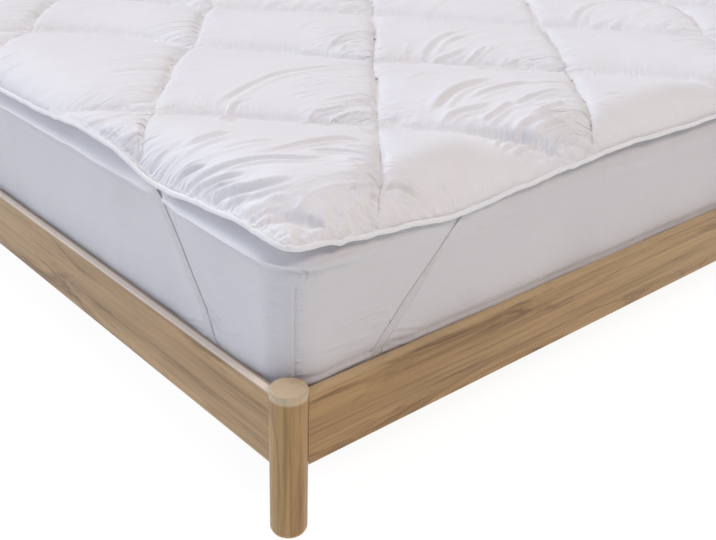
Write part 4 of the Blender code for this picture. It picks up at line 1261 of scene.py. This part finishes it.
def oak(name, along, tint, painted_highlight):
    """Pale oiled oak: long fine lines, slow bands, and a few darker figured streaks along the grain."""
    n = Nodes(name)
    place = n.place()

    def grain(lengthwise, crosswise, *look, **moved):
        scale = [crosswise] * 3
        scale["xyz".index(along)] = lengthwise
        return n.noise(place, scale, *look, **moved)

    sway = grain(2.2, 5.0, 2.0)
    rings = grain(1.1, 26.0, 3.0, 0.55, 0.6)
    lines = grain(3.0, 150.0, 3.0, 0.6, 0.25)
    figure = grain(2.8, 21.0, 5.0, 0.66, 1.0, move=(3.1, 1.7, 0.4))
    pores = grain(24.0, 900.0, 2.0)
    base = n.ramp(rings, [(at, tuple(np.multiply(shade, tint))) for at, shade in OAK_SHADES])
    streak = n.ramp(figure, [(0.35, (0.50, 0.41, 0.31)), (0.41, (0.79, 0.73, 0.65)), (0.48, (1, 1, 1))])
    thread = n.ramp(lines, [(0.34, (0.74, 0.70, 0.64)), (0.50, (1, 1, 1)), (0.68, (1.13, 1.13, 1.13))])
    pore = n.ramp(pores, [(0.34, (0.86, 0.83, 0.80)), (0.48, (1, 1, 1))])
    tone = n.ramp(sway, [(0.3, (0.96, 0.95, 0.93)), (0.7, (1.04, 1.04, 1.04))])
    colour = n.times(n.times(base, streak), thread)
    colour = n.times(n.times(colour, pore, 0.5), tone)
    # painted highlight: the wood lighter above the rails' upper edge, mixed towards the given highlight
    # colour
    above = n.math("MULTIPLY_ADD", n.parts(place)[2], *PAINTED_TOP_HIGHLIGHT)
    colour = n.mix(n.math("MULTIPLY", n.limited(above), 0.60), colour, painted_highlight)
    if along == "y":
        # painted shade: darker inside the end rails' outer half, beside and under the mattress
        inner = n.math("MULTIPLY_ADD", n.math("ABSOLUTE", n.parts(place)[0]), *SHADED_EDGE)
        colour = n.mix(n.limited(inner), colour, n.times(colour, (0.50, 0.43, 0.36)))
    rough = n.math("MULTIPLY_ADD", lines, 0.12, 0.36)
    return n.finish(colour, rough, n.bump(lines, 0.0003, 0.25), 0.0, 0.45)


# ---------------------------------------------------------------- the whole
def dress():
    add_camera()
    add_light()
    add_floor()

    pad = make_pad(quilted_cloth())
    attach(pad, BODY)
    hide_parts("quilted_pad")

    binding = make_binding(binding_cloth())
    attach(binding, BODY)
    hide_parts("piping")

    mattress = make_mattress(mattress_cloth())
    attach(mattress, BODY)
    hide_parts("mattress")

    band = elastic_cloth()
    for node, side_x, side_y in (("strap_near_left", -1, -1), ("strap_near_right", 1, -1),
                                 ("strap_far_left", -1, 1), ("strap_far_right", 1, 1)):
        strap = make_strap(node + "_elastic", side_x, side_y, band)
        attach(strap, BODY)
        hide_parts(node)
        strap_length()

    # the last colour of each is its painted highlight on the wood's upper edges and tops
    along_x = oak("oak_along_x", "x", (0.97, 0.95, 0.80), (0.56, 0.42, 0.25))
    along_y = oak("oak_along_y", "y", (0.99, 1.00, 1.00), (0.92, 0.83, 0.75))
    upright = oak("oak_upright", "z", (0.98, 0.95, 0.78), (0.62, 0.53, 0.38))
    for node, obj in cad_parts.items():
        if obj.hide_render:
            continue
        if node.startswith("post") or node == "centre_leg":
            wood = upright
        elif node.startswith("end_rail") or node.startswith("slat"):
            wood = along_y
        else:
            wood = along_x
        for slot in obj.material_slots:
            slot.material = wood
        if not obj.material_slots:
            obj.data.materials.append(wood)


dress()

bpy.context.view_layer.update()
